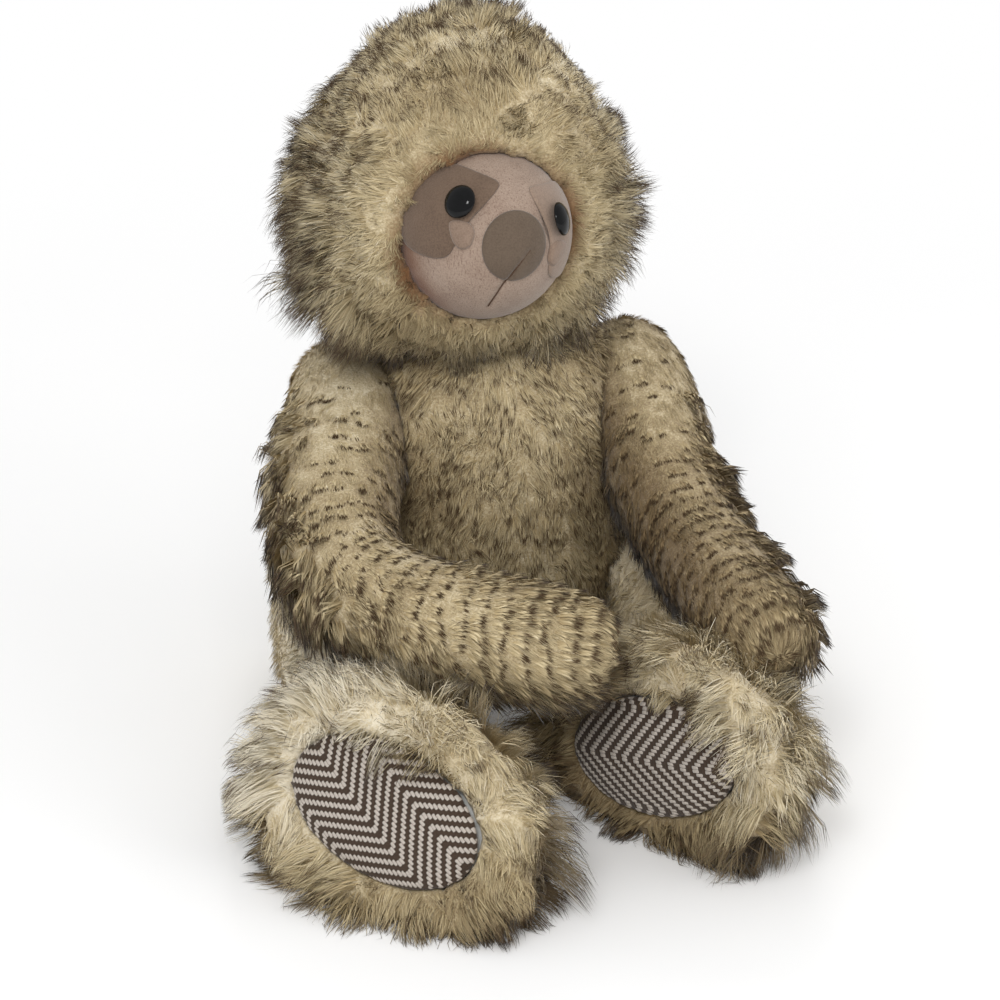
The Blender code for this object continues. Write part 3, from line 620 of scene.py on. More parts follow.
def cells(rows, columns, rng, jitter):
    """Which tuft of the woven rows each root stands in, and its place in that tuft from -0.5 to 0.5."""
    row = np.floor(rows).astype(int)
    column = np.floor(columns + 0.5 * (row % 2)).astype(int)
    within = np.stack([rows - row - 0.5, columns + 0.5 * (row % 2) - column - 0.5], axis=1)
    key = row * 100003 + column
    names, index = np.unique(key, return_inverse=True)
    shift = rng.uniform(-jitter, jitter, (len(names), 2))
    return index, within + shift[index], rng.random(len(names))[index]


def locks(roots, spacing, area, rng):
    """Groups the roots into uneven locks about as wide as the spacing."""
    leaders = rng.choice(len(roots), max(8, int(area / spacing ** 2)), replace=False)
    tree = KDTree(len(leaders))
    for index, leader in enumerate(leaders):
        tree.insert(roots[leader], index)
    tree.balance()
    return np.array([tree.find(p)[1] for p in roots]), len(leaders)


def clear_height(roots, normals, tree):
    """How far it is from each root to the next skin outside it."""
    free = np.full(len(roots), CLEAR_REACH)
    for index, (place, out) in enumerate(zip(roots, normals)):
        hit = tree.ray_cast(Vector(place + out * 0.2 * MM), Vector(out), CLEAR_REACH)
        if hit[3] is not None:
            free[index] = hit[3]
    return free


def trim(points, trees):
    """Shortens strands that would run into a skin or another piece."""
    for index in range(len(points)):
        start = Vector(points[index, 1])
        end = Vector(points[index, -1])
        way = end - start
        for tree in trees:
            hit = tree.ray_cast(start, way.normalized(), way.length)
            if hit[3] is not None:
                share = max(0.1, (hit[3] / way.length) * 0.92)
                points[index, 2:] = points[index, 1] + (points[index, 2:] - points[index, 1]) * share
                way = way * share
    return points


LOW_LIMIT, HIGH_LIMIT = (np.array(corner) for corner in solid_box)
LIMIT_ROOM = (HIGH_LIMIT - LOW_LIMIT) * PROUD_SHARE + PROUD - PROUD_SPARE
LOW_LIMIT = LOW_LIMIT - LIMIT_ROOM
HIGH_LIMIT = HIGH_LIMIT + LIMIT_ROOM
LOW_LIMIT[2] = 0.5 * MM


def hold_in_box(points):
    """Shortens strands that would leave the part's box, and lays those that would sink on the ground."""
    reach = points - points[:, :1]
    room_high = (HIGH_LIMIT - points[:, 0])[:, None, :]
    room_low = (LOW_LIMIT - points[:, 0])[:, None, :]
    with np.errstate(divide="ignore", invalid="ignore"):
        high = np.where(reach > 1e-7, room_high / reach, np.inf)
        low = np.where(reach < -1e-7, room_low / reach, np.inf)
    low[:, :, 2] = np.inf
    share = np.clip(np.minimum(high, low).min(axis=(1, 2)), 0.05, 1)
    points = points[:, :1] + reach * share[:, None, None]
    sunk = points[:, :, 2] < LOW_LIMIT[2]
    points[:, :, 2] = np.where(sunk, LOW_LIMIT[2] + GROUND_CLEARANCE, points[:, :, 2])
    return points


def strand_points(roots, normals, field, steps, rng):
    """Each strand from its root: it leaves the skin at its lift, lies down along the flow and sags."""
    count = len(roots)
    flow = field["flow"] - normals * np.sum(field["flow"] * normals, axis=1, keepdims=True)
    flow = unit(flow)
    points = np.empty((count, steps + 1, 3))
    points[:, 0] = roots - normals * PILE_SINK
    wander = rng.normal(0, 1, (count, 3)) * field["wander"][:, None]
    for step in range(steps):
        share = step / (steps - 1)
        angle = (field["lift"] * (1 - 0.5 * share))[:, None]
        way = flow * np.cos(angle) + normals * np.sin(angle) + wander * (0.5 + share)
        way = unit(way + field["swing"] + DOWN * (field["sag"] * share)[:, None])
        if "steered" in field:
            way = unit(way + (field["edge_way"] - way) * field["steered"][:, None])
        rise = np.sum(way * normals, axis=1)
        way = unit(way + normals * np.maximum(0, LEAST_RISE - rise)[:, None])
        points[:, step + 1] = points[:, step] + way * (field["length"] / steps)[:, None]
    return points


TAPERS = {2: (1.0, 0.85), 3: (1.0, 0.95, 0.7)}


def ribbons(name, points, normals, tone, darkness, width, rng):
    """A mesh of tapering ribbons, each with a point at its end, shaded as the pile's soft surface."""
    count, steps = points.shape[0], points.shape[1] - 1
    tangent = unit(np.gradient(points, axis=1))
    twist = rng.uniform(-0.8, 0.8, count)
    across = unit(np.cross(tangent[:, 1], normals))
    facing = normals * np.cos(twist)[:, None] + across * np.sin(twist)[:, None]
    side = unit(np.cross(tangent, facing[:, None, :]))
    half = width[:, None] / 2
    taper = TAPERS[steps]
    corners = np.empty((count, 2 * steps + 1, 3))
    for step in range(steps):
        corners[:, 2 * step] = points[:, step] - side[:, step] * half * taper[step]
        corners[:, 2 * step + 1] = points[:, step] + side[:, step] * half * taper[step]
    corners[:, -1] = points[:, -1]
    pattern = []
    for step in range(steps - 1):
        pattern += [2 * step, 2 * step + 1, 2 * step + 3, 2 * step + 2]
    pattern = np.array(pattern + [2 * steps - 2, 2 * steps - 1, 2 * steps])
    band = (np.floor(np.clip(tone, 0, 0.999) * TONES) + np.clip(darkness, 0.06, 0.94)) / TONES
    sway = np.array([-1, 1] * steps + [0]) * 0.04 / TONES
    height = np.clip(np.repeat(np.arange(steps + 1) / steps, 2)[:-1], 0.02, 0.98)
    flat = np.stack([band[:, None] + sway[None, :], np.broadcast_to(height, (count, 2 * steps + 1))], axis=2)
    mesh = bpy.data.meshes.new(name)
    mesh.vertices.add(count * (2 * steps + 1))
    mesh.vertices.foreach_set("co", corners.astype(np.float32).ravel())
    mesh.loops.add(count * len(pattern))
    starts = np.arange(count)[:, None] * (2 * steps + 1)
    mesh.loops.foreach_set("vertex_index", (starts + pattern[None, :]).astype(np.int32).ravel())
    mesh.polygons.add(count * steps)
    firsts = np.arange(count)[:, None] * len(pattern) + 4 * np.arange(steps)[None, :]
    mesh.polygons.foreach_set("loop_start", firsts.astype(np.int32).ravel())
    mesh.update(calc_edges=True)
    layer = mesh.uv_layers.new(name="OFBake")
    layer.data.foreach_set("uv", flat[:, pattern].astype(np.float32).ravel())
    mesh.polygons.foreach_set("use_smooth", np.ones(count * steps, bool))
    soft = unit(normals * SOFT_SHARE + facing * (1 - SOFT_SHARE))
    shading = mesh.attributes.new("custom_normal", "FLOAT_VECTOR", "POINT")
    shading.data.foreach_set("vector", np.repeat(soft, 2 * steps + 1, axis=0).astype(np.float32).ravel())
    piece = bpy.data.objects.new(name, mesh)
    bpy.context.scene.collection.objects.link(piece)
    return piece


def press(field, free):
    """Lays the pile down where another skin is close, and gives how far it is pressed."""
    pressed = 1 - smooth(PRESSED_FROM, PRESSED_TO, free)
    field["lift"] = field["lift"] * (1 - 0.85 * pressed)
    return pressed


def steer(field, roots, beside):
    """Turns the pile beside the face or a pad the way that its edge asks for."""
    near = 1 - smooth(EDGE_FROM, EDGE_TO, beside_gap(roots, beside))
    field["steered"] = 0.9 * near
    field["length"] = field["length"] * (1 - near) + field["edge_length"] * near


def grow(name, body, skin, steps, count, rule, beside, seed):
    """The pile on one skin, in pieces that ride on its body."""
    rng = np.random.default_rng(seed)
    roots, normals, area = scatter(skin, f"{body}_stuffing", count, rng)
    field = rule(roots, normals, rng)
    if beside:
        steer(field, roots, beside)
    around = other_skins(body)
    free = clear_height(roots, normals, around)
    pressed = press(field, free)
    keep = rng.random(count) < np.where(free < THIN_BELOW, THIN_SHARE, 1.0)
    lock, number = locks(roots, field["lock"], area, rng)
    swing = rng.normal(0, 1, (number, 3))
    twig, twigs = locks(roots, field["twig"], area, rng)
    little = rng.normal(0, 1, (twigs, 3)) * field["twig_swing"]
    lock_swing = np.broadcast_to(field["lock_swing"], count)[:, None]
    field["swing"] = (swing[lock] * lock_swing + little[twig]) * (1 - 0.8 * pressed)[:, None]
    longer = rng.normal(1, field["uneven"], number)
    field["length"] = field["length"] * longer[lock] * (1 - 0.8 * UNDERFUR_SHARE)
    jitter = CRISP_JITTER if field["crisp"] else JITTER
    tuft, within, chance = cells(field["rows"], field["columns"], rng, jitter)
    spot = (within[:, 0] / field["spot_long"]) ** 2 + (within[:, 1] / field["spot_wide"]) ** 2 < 1
    spot &= chance < field["spot_share"]
    loose = spot & field["crisp"]
    field["lift"] = field["lift"] + np.where(loose, SPOT_LIFT, 0.0)
    guard = rng.random(count) < field["guard"]
    dark = spot | guard
    ragged = field["ragged"] * rng.uniform(-1, 1, count)
    grown = np.where(dark, field["dark_longer"] * (1 + ragged), rng.uniform(field["short"], 1.0, count))
    field["length"] = field["length"] * grown - np.where(spot, within[:, 0] * field["row_step"], 0.0)
    points = strand_points(roots, normals, field, steps, rng)
    points = gather(points, twig, np.where(loose, 0.0, field["twig_pull"]))
    points = gather(points, tuft * 2 + spot, np.where(spot, field["spot_pull"], 0.0))
    points = gather(points, lock, field["lock_pull"])
    points = trim(points, [around, surface_of(beside)] if beside else [around])
    points = hold_in_box(points)
    darkness = np.where(dark, field["dark"] / TIP_REACH * rng.uniform(0.85, 1.15, count), 0.0)
    tone = np.clip(field["tone"] + rng.normal(0, field["mottle"], count), 0, 1)
    width = PILE_WIDTH * np.where(spot, field["spot_bold"], 1.0) * rng.uniform(0.8, 1.2, count)
    chosen = np.flatnonzero(keep)
    pieces = math.ceil(len(chosen) * (2 * steps - 1) / TRIANGLES_PER_PIECE)
    for index, part in enumerate(np.array_split(chosen, pieces)):
        piece = ribbons(
            f"{name}_pile_{index + 1}",
            points[part],
            normals[part],
            tone[part],
            darkness[part],
            width[part],
            rng,
        )
        use(piece, PILE)
        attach(piece, body)


def plain_field(count):
    """The settings that a rule starts from. Those given in full can differ from strand to strand."""
    return {
        "length": np.full(count, 12 * MM),
        "lift": np.full(count, 0.4),
        "sag": np.full(count, 0.3),
        "wander": np.full(count, 0.16),
        "short": 0.6,
        "uneven": 0.12,
        "lock": 9 * MM,
        "lock_swing": 0.25,
        "lock_pull": np.full(count, 0.2),
        "twig": 2.6 * MM,
        "twig_swing": 0.20,
        "twig_pull": np.full(count, 0.45),
        "spot_share": 0.85,
        "spot_long": 0.30,
        "spot_wide": 0.36,
        "spot_pull": 0.3,
        "spot_bold": 1.3,
        "row_step": 0.0,
        "crisp": False,
        "guard": np.full(count, 0.05),
        "dark": 0.3,
        "dark_longer": 1.12,
        "ragged": 0.12,
        "tone": np.full(count, 0.3),
        "mottle": 0.09,
        "stain": 0.0,
    }


def ripple(places, scale, phase):
    """A slow, uneven change over the toy, from -1 to 1."""
    x, y, z = (places * scale).T
    first = np.sin(x + 1.7 * np.sin(0.8 * y + phase))
    second = np.sin(1.3 * z + 1.1 * np.sin(x + 2 * phase))
    third = np.sin(0.9 * y + 1.3 * np.sin(1.1 * z + 3 * phase))
    return (first + second + third) / 3


FACE_PLACE = np.array(FACE.to_translation())
LEFT_WAY, UP_WAY, NOSE_WAY = (np.array(way) for way in FACE.to_3x3().col)
DOWN = np.array((0, 0, -1.0))

# Where rust is sprayed round the face, in degrees up from the toy's left
RUST_TURNS = (20, 128, 215)

# Length of the hood's pile by the way it faces: turn up from the toy's left in degrees, and share
HOOD_FRINGE = (
    (-180, 0.95), (-150, 1.45), (-120, 1.05), (-90, 0.9), (-60, 1.0), (-28, 1.35), (0, 1.0), (15, 1.0),
    (25, 0.45), (62, 0.45), (74, 0.85), (95, 0.65), (110, 0.6), (140, 0.55), (160, 0.85), (180, 0.95),
)
BROW_LENGTH = 9 * MM
CHEEK_EXTRA = 11 * MM
RIM_TRIM = 2 * MM
HOOD_RADIUS = 62 * MM
HOOD_GIRTH_RADIUS = 52 * MM
HOOD_ROW = 6 * MM
HOOD_COLUMN = 4.6 * MM


def hood_rule(roots, normals, rng):
    """The hood's pile stands out all round, longest at the cheeks, and is short at the brow."""
    field = plain_field(len(roots))
    offset = roots - FACE_PLACE
    ahead = offset @ NOSE_WAY
    outward = offset - ahead[:, None] * NOSE_WAY
    radius = np.linalg.norm(outward, axis=1)
    polar = np.arctan2(radius, ahead)
    from_rim = np.linalg.norm(offset, axis=1) - FACE_RADIUS
    back = smooth(1.9, 2.6, polar)
    upness = unit(outward) @ UP_WAY
    round_face = np.arctan2(outward @ UP_WAY, outward @ LEFT_WAY)
    shaggy = smooth(2 * MM, 26 * MM, from_rim)
    brow = smooth(0.2, 0.9, upness) * (1 - smooth(20 * MM, 45 * MM, from_rim))
    rim = 1 - smooth(1 * MM, 7 * MM, from_rim)
    away = roots - np.array(HEAD_CENTRE)
    fringe = np.interp(np.degrees(np.arctan2(away[:, 2], away[:, 0])), *zip(*HOOD_FRINGE))
    cut = 1 + (fringe - 1) * shaggy
    radial = unit(outward) * (1 - 0.8 * back)[:, None]
    field["flow"] = radial - NOSE_WAY * 0.15 + DOWN * (0.30 + 1.0 * back)[:, None]
    field["length"] = (BROW_LENGTH + CHEEK_EXTRA * shaggy) * cut - RIM_TRIM * rim
    flatter = 1.3 * shaggy * (1 - np.minimum(1, fringe))
    field["lift"] = (0.65 + 0.55 * shaggy * (1 - 0.35 * back)) * (1 - flatter)
    field["sag"] = 0.08 + 0.35 * back
    field["wander"] = 0.26 + 0.10 * shaggy
    field["uneven"] = 0.22
    field["lock"] = 8 * MM
    field["lock_swing"] = 0.34 + 0.20 * shaggy
    field["lock_pull"] = 0.03 + 0.37 * shaggy
    field["twig_swing"] = 0.34
    field["twig_pull"] = 0.10 + 0.22 * shaggy
    field["rows"] = polar * HOOD_RADIUS / HOOD_ROW + 0.35 * ripple(roots, 130, 0.4)
    field["columns"] = round_face * HOOD_GIRTH_RADIUS / HOOD_COLUMN
    field["spot_share"] = 0.75 - 0.65 * brow - 0.35 * (1 - shaggy) - 0.25 * back
    field["edge_way"] = NOSE_WAY
    field["edge_length"] = 8.5 * MM
    field["guard"] = 0.04 + 0.34 * shaggy * (1 - 0.5 * back)
    field["dark"] = 0.28 + 0.28 * shaggy * (1 - 0.4 * back)
    field["dark_longer"] = 1.0 + 0.34 * shaggy
    sprayed = sum(np.exp(6 * (np.cos(round_face - math.radians(turn)) - 1)) for turn in RUST_TURNS)
    field["stain"] = 0.8 * (1 - smooth(0.5 * MM, 8 * MM, from_rim)) * np.minimum(1, sprayed)
    under = smooth(0.2, 0.9, -upness)
    # Darker at the brow and the back; the darker tone underneath the head and beside the face's rim is
    # painted shade.
    field["tone"] = 0.35 + 0.14 * ripple(roots, 90, 1.3) + 0.14 * brow + 0.12 * (back + under + rim)
    field["tone"] = field["tone"] + 0.5 * field["stain"]
    return field


TORSO_RADIUS = 52 * MM
TORSO_ROW = 4.8 * MM
TORSO_COLUMN = 3.6 * MM


def torso_rule(roots, normals, rng):
    """The belly's short pile runs down, with small dark flecks and swirls."""
    count = len(roots)
    field = plain_field(count)
    field["flow"] = DOWN + 0.5 * ripple(roots, 75, 2.1)[:, None] * np.array((1.0, 0, 0))
    field["length"] = np.full(count, 12.5 * MM)
    field["lift"] = np.full(count, 0.55)
    field["wander"] = np.full(count, 0.20)
    field["lock_swing"] = 0.32
    field["twig_swing"] = 0.25
    field["dark"] = 0.48
    field["spot_bold"] = 1.8
    field["rows"] = roots[:, 2] / TORSO_ROW + 0.4 * ripple(roots, 110, 0.2)
    field["columns"] = np.arctan2(roots[:, 0], -roots[:, 1]) * TORSO_RADIUS / TORSO_COLUMN
    field["guard"] = np.full(count, 0.30)
    field["dark_longer"] = 1.18
    flank = smooth(20 * MM, 50 * MM, np.abs(roots[:, 0]))
    field["tone"] = 0.53 + 0.18 * ripple(roots, 70, 0.9) + 0.1 * flank
    return field


ARM_LENGTH = 9 * MM
ARM_FRINGE = {"right": 9 * MM, "left": 5 * MM}
ARM_UNDER = 7 * MM
PAW_EXTRA = 3 * MM
ARM_RADIUS = 24 * MM
ARM_ROW = 8 * MM
ARM_COLUMN = 6.2 * MM
ARM_TONES = {"right": 0.40, "left": 0.58}
OUTWARD = {"right": np.array((-1.0, 0, 0)), "left": np.array((1.0, 0, 0))}


def arm_rule(side):
    """An arm's pile runs to the paw: smooth with rows of dark dashes on top, long at the outer edge."""
    route = Route(ARM_ROUTES[side])

    def rule(roots, normals, rng):
        count = len(roots)
        field = plain_field(count)
        distance, along, turn = route.read(roots)
        field["flow"] = along + np.array((0, 0, -0.12))
        facing = normals @ OUTWARD[side]
        outer = smooth(0.35, 0.95, facing) * smooth(20 * MM, 60 * MM, distance)
        under = smooth(0.2, 0.9, -normals[:, 2])
        inner = smooth(0.2, 0.9, -facing)
        lower = smooth(70 * MM, 120 * MM, distance)
        end = smooth(160 * MM, 220 * MM, distance)
        fringe = ARM_FRINGE[side] * outer * (1 - 0.4 * end)
        field["length"] = ARM_LENGTH + fringe + ARM_UNDER * under + PAW_EXTRA * end
        field["lift"] = 0.20 + 0.45 * outer + 0.30 * under + 0.12 * end
        field["sag"] = 0.25 + 0.4 * outer
        field["wander"] = 0.08 + 0.10 * outer + 0.08 * under
        field["lock_swing"] = 0.12 + 0.32 * outer
        field["lock_pull"] = 0.04 + 0.45 * outer
        field["twig_swing"] = 0.10
        field["twig_pull"] = 0.25 + 0.2 * outer
        field["rows"] = distance / ARM_ROW + 0.25 * turn + 0.22 * ripple(roots, 60, 0.5)
        field["columns"] = turn * ARM_RADIUS / ARM_COLUMN
        field["spot_long"] = 0.17
        field["spot_wide"] = 0.40
        field["spot_pull"] = 0.0
        field["spot_bold"] = 3.2
        field["row_step"] = ARM_ROW
        field["crisp"] = True
        field["short"] = 0.80
        field["ragged"] = 0.03 + 0.12 * outer + 0.08 * under
        field["dark"] = 0.41 + 0.12 * outer
        field["dark_longer"] = 1.10 + 0.15 * outer
        field["spot_share"] = 0.30 + 0.70 * lower
        field["guard"] = 0.02 + 0.30 * outer + 0.20 * under
        # Painted shade: darker underneath the arm and on its side against the body; it also darkens towards
        # the paw.
        shade = 0.12 * lower + 0.26 * under + 0.35 * inner * (1 - end)
        field["tone"] = ARM_TONES[side] + shade + 0.06 * ripple(roots, 90, 0.7)
        return field

    return rule


LEG_LENGTH = 12 * MM
FOOT_EXTRA = 15 * MM
LEG_UNDER = 3 * MM
SOLE_EDGE = 9 * MM
OVER_EXTRA = 17 * MM
OVER_SHARES = {"right": 1.0, "left": 0.3}
LEG_RADIUS = 32 * MM
LEG_ROW = 6.4 * MM
LEG_COLUMN = 5.2 * MM
LEG_TONES = {"right": 0.06, "left": 0.22}
OUTSIDE_PALER = {"right": 0.12, "left": 0.0}


def leg_rule(side):
    """A leg's pile runs to the foot and bursts out round the sole in long locks."""
    route = Route(LEG_ROUTES[side])
    sole = sole_frame(side)
    centre = np.array(sole.to_translation())
    facing = np.array(sole.to_3x3().col[2])

    def rule(roots, normals, rng):
        count = len(roots)
        field = plain_field(count)
        distance, along, turn = route.read(roots)
        offset = roots - centre
        depth = -(offset @ facing)
        foot = 1 - smooth(22 * MM, 62 * MM, depth)
        rim = unit(offset + depth[:, None] * facing)
        up = smooth(0.1, 0.9, normals[:, 2])
        low = smooth(0.0, 0.8, -normals[:, 2])
        flow = along * (1 - foot)[:, None] + (facing * 0.55 + rim * 0.6) * foot[:, None]
        field["flow"] = flow + np.array((0, 0, -0.15))
        field["length"] = LEG_LENGTH + FOOT_EXTRA * foot + LEG_UNDER * low
        field["lift"] = 0.45 + 0.65 * foot * (1 - 0.25 * up)
        field["sag"] = 0.30 + 0.45 * foot
        field["wander"] = 0.16 + 0.14 * foot
        field["lock"] = 11 * MM
        field["lock_swing"] = 0.32 + 0.10 * foot
        field["lock_pull"] = 0.05 + 0.42 * foot
        field["uneven"] = 0.22
        field["twig_swing"] = 0.20
        field["dark_longer"] = 1.05 + 0.20 * foot
        field["dark"] = 0.36 + 0.10 * foot
        field["rows"] = distance / LEG_ROW + 0.3 * ripple(roots, 100, 1.9)
        field["columns"] = turn * LEG_RADIUS / LEG_COLUMN
        field["spot_share"] = 0.70 - 0.55 * up
        outside = smooth(0.2, 0.9, rim @ OUTWARD[side])
        inside = smooth(0.1, 0.9, -(rim @ OUTWARD[side]))
        field["guard"] = 0.02 + 0.22 * foot * (1 - 0.75 * up) * (1 - 0.5 * outside)
        over = smooth(0.68, 0.92, rim[:, 2] / np.linalg.norm(facing[:2])) * OVER_SHARES[side]
        field["edge_way"] = unit(facing - 1.1 * over[:, None] * rim)
        field["edge_length"] = SOLE_EDGE + OVER_EXTRA * over
        # Painted shade: the pile is darker underneath the leg, near the floor and on the foot's inner side;
        # the right foot's outside is paler.
        sunk = 1 - smooth(8 * MM, 45 * MM, roots[:, 2])
        foot_tone = foot * (0.46 * sunk + 0.28 * inside - OUTSIDE_PALER[side] * outside)
        field["tone"] = LEG_TONES[side] + 0.30 * low + 0.08 * ripple(roots, 80, 2.6) + foot_tone
        return field

    return rule


# Pieces

# skin, body, steps in a strand, strands, rule, what the pile lies beside, seed
SKINS = (
    ("torso", "torso", 2, 60000, torso_rule, (), 11),
    ("hood", "head", 3, 94000, hood_rule, ("face_panel",), 12),
    ("arm_right", "arm_right", 2, 64000, arm_rule("right"), (), 13),
    ("arm_left", "arm_left", 2, 56000, arm_rule("left"), (), 14),
    ("leg_right", "leg_right", 3, 58000, leg_rule("right"), ("sole_pad_right",), 15),
    ("leg_left", "leg_left", 3, 54000, leg_rule("left"), ("sole_pad_left",), 16),
)


def spread(values, mesh, rounds):
    """Evens out a value over the mesh, from each point to the ones beside it."""
    ends = np.empty(len(mesh.edges) * 2, np.int32)
    mesh.edges.foreach_get("vertices", ends)
    first, second = ends.reshape(-1, 2).T
    size = len(values)
    beside = np.bincount(first, minlength=size) + np.bincount(second, minlength=size)
    for _ in range(rounds):
        total = np.bincount(first, values[second], size) + np.bincount(second, values[first], size)
        values = 0.5 * values + 0.5 * total / np.maximum(beside, 1)
    return values


def fur_skin(name, body, rule, beside):
    """A skin's cloth, rounded from its solid, with the woolly underfur raised from it in soft lumps."""
    skin = copy_of(f"{name}_fur_skin", f"{name}_skin")
    modify(skin, "REMESH", mode="VOXEL", voxel_size=SKIN_VOXEL, use_smooth_shade=True)
    modify(skin, "SMOOTH", factor=0.5, iterations=5)
    places, normals = vertices_of(skin.data), normals_of(skin.data)
    field = rule(places, normals, np.random.default_rng(5))
    outer = outer_points(places, normals, f"{body}_stuffing")
    free = clear_height(places, normals, other_skins(body))
    height = np.minimum(np.minimum(UNDERFUR_SHARE * field["length"], UNDERFUR_LIMIT), UNDERFUR_ROOM * free)
    if beside:
        height = np.minimum(height, UNDERFUR_EDGE + 0.5 * beside_gap(places, beside))
    height = spread(np.where(outer, height, 0.0), skin.data, 3) * outer
    lump = np.array([noise.noise(Vector(p) * 150) + 0.5 * noise.noise(Vector(p) * 380) for p in places])
    lumpy = 0.08 + 0.40 * smooth(0.35, 1.0, field["lift"])
    set_vertices(skin.data, places + normals * (height * (1 + lumpy * lump))[:, None])
    mark(skin.data, "tone", np.clip(field["tone"], 0, 1))
    mark(skin.data, "stain", field["stain"])
    use(skin, UNDERFUR)
    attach(skin, body)
    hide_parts(f"{name}_fur_skin")
    return skin


def on_face(x, y, lift):
    """The point of the face ball over a place of its flat plan, wrapped round near the edge."""
    flat = math.hypot(x, y)
    if flat < 1e-9:
        return Vector((0, 0, FACE_REACH + lift))
    edge = FACE_WRAP_SHARE * FACE_RADIUS
    polar = math.asin(min(flat, edge) / FACE_RADIUS)
    if flat > edge:
        polar += (flat - edge) / (FACE_RADIUS * math.cos(polar))
    reach = FACE_REACH if polar < math.pi / 2 else FACE_RADIUS
    ring = (FACE_RADIUS + lift) * math.sin(polar)
    return Vector((ring * x / flat, ring * y / flat, (reach + lift) * math.cos(polar)))


# The mouth's seam on the face's flat plan, in mm, from inside the nose down over the chin
SEAM = (
    (8.6, -3.8), (7.0, -6.8), (5.4, -10.0), (3.6, -14.2),
    (2.4, -18.0), (1.6, -22.0), (1.2, -26.4), (1.1, -29.2),
)
SEAM_DEPTH = 0.9 * MM
SEAM_WIDTH = 1.1 * MM
NOSE_SEAM_WIDTH = 0.9 * MM
SOCKET_DEPTH = 1.0 * MM
SOCKET_RADIUS = 6.5 * MM
SOCKET_WIDTH = 3.0 * MM
THREAD_RADIUS = 0.26 * MM
EYES = {"right": -1, "left": 1}
EYE_SIDE_SHARE = 0.535
EYE_UP_SHARE = 0.255
EYE_RADIUS = 6.8 * MM
EYE_BULGE = 3.2 * MM
EYE_SEAT = 1.3 * MM
EYE_SKIRT = 1.0 * MM
EYE_TURN = math.radians(18)


def eye_frame(side):
    """On the face at an eye, with Z straight out of the ball."""
    ahead = math.sqrt(1 - EYE_SIDE_SHARE ** 2 - EYE_UP_SHARE ** 2)
    out = Vector((side * EYE_SIDE_SHARE, EYE_UP_SHARE, ahead))
    reach = FACE_RADIUS + (FACE_REACH - FACE_RADIUS) * ahead ** 2
    turn = (FACE.to_3x3() @ out).normalized().to_track_quat("Z", "Y").to_matrix().to_4x4()
    return Matrix.Translation(FACE @ (out * reach)) @ turn


def distance_to_line(places, line):
    """How far each place is from a line of points."""
    best = np.full(len(places), np.inf)
    for a, b in zip(line[:-1], line[1:]):
        step = b - a
        share = np.clip(((places - a) @ step) / (step @ step), 0, 1)
        best = np.minimum(best, np.linalg.norm(places - a - share[:, None] * step, axis=1))
    return best


def press_half(piece, side, share):
    """Presses the half of a ball on one side of its middle to a share of its height, in edit mode."""
    form = bmesh.from_edit_mesh(piece.data)
    for vertex in form.verts:
        vertex.select_set(side * vertex.co.z > 1e-6)
    form.select_flush(True)
    bmesh.update_edit_mesh(piece.data)
    bpy.ops.transform.resize(value=(1, 1, share), center_override=(0, 0, 0))


def face_panel():
    """The velour ball's front: a muzzle, eye hollows, a pressed seam and a sprayed rim."""
    deselect()
    bpy.ops.mesh.primitive_uv_sphere_add(segments=160, ring_count=100, radius=FACE_RADIUS)
    piece = named("face_velour")
    bpy.ops.object.mode_set(mode="EDIT")
    form = bmesh.from_edit_mesh(piece.data)
    for vertex in form.verts:
        vertex.select_set(vertex.co.z < -FACE_RIM_SHARE * FACE_RADIUS)
    form.select_flush_mode()
    bmesh.update_edit_mesh(piece.data)
    bpy.ops.mesh.delete(type="VERT")
    press_half(piece, 1, FACE_REACH / FACE_RADIUS)
    bpy.ops.object.mode_set(mode="OBJECT")
    places = vertices_of(piece.data)
    seam = np.array([on_face(x * MM, y * MM, 0) for x, y in SEAM])
    inward = SEAM_DEPTH * np.exp(-(distance_to_line(places, seam) / SEAM_WIDTH) ** 2)
    for side in EYES.values():
        eye = np.array(FACE.inverted() @ eye_frame(side).to_translation())
        gap = np.linalg.norm(places - eye, axis=1)
        inward += SOCKET_DEPTH * np.exp(-((gap - SOCKET_RADIUS) / SOCKET_WIDTH) ** 2)
    set_vertices(piece.data, places - unit(places) * inward[:, None])
    polar = np.arctan2(np.linalg.norm(places[:, :2], axis=1), places[:, 2])
    turn = np.arctan2(places[:, 1], places[:, 0])
    patchy = 0.3 + 0.9 * sum(np.exp(5 * (np.cos(turn - math.radians(at)) - 1)) for at in RUST_TURNS)
    mark(piece.data, "spray", smooth(0.95, 1.4, polar) * np.minimum(1, patchy))
    modify(piece, "SOLIDIFY", thickness=FACE_WALL, offset=-1)
    bpy.ops.object.shade_smooth()
    settle(piece, FACE)
    use(piece, FACE_VELOUR)
    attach(piece, "head")
    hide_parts("face_panel")


# An eye patch as shares of its width and height, from its middle; its inner tip comes first
EYE_PATCH_PLAN = (
    (0.50, 0.34), (0.30, 0.40), (0.05, 0.45), (-0.22, 0.42), (-0.42, 0.27), (-0.50, 0.02),
    (-0.46, -0.24), (-0.32, -0.43), (-0.10, -0.50), (0.06, -0.46), (0.12, -0.28),
    (0.20, -0.08), (0.34, 0.10), (0.46, 0.24),
)
EYE_PATCH_WIDTH = 34 * MM
EYE_PATCH_HEIGHT = 40 * MM
EYE_PATCH_SIDE = 23.5 * MM
EYE_PATCH_UP = 6.5 * MM
NOSE_RADII = (13.5 * MM, 14 * MM)
NOSE_DROP = 3.2 * MM
NOSE_SIDE = 2.6 * MM
# The lower lids' plan and middles on the face's flat plan, in mm
LID_PLAN = (
    (-3.9, -4.2), (-4.3, 1.4), (-2.2, 4.2), (1.6, 4.9),
    (4.4, 3.6), (4.2, 0.4), (2.2, -4.0), (-0.8, -6.2),
)
LID_PLACES = {"right": (18.6, -1.8), "left": (22.6, -2.6)}


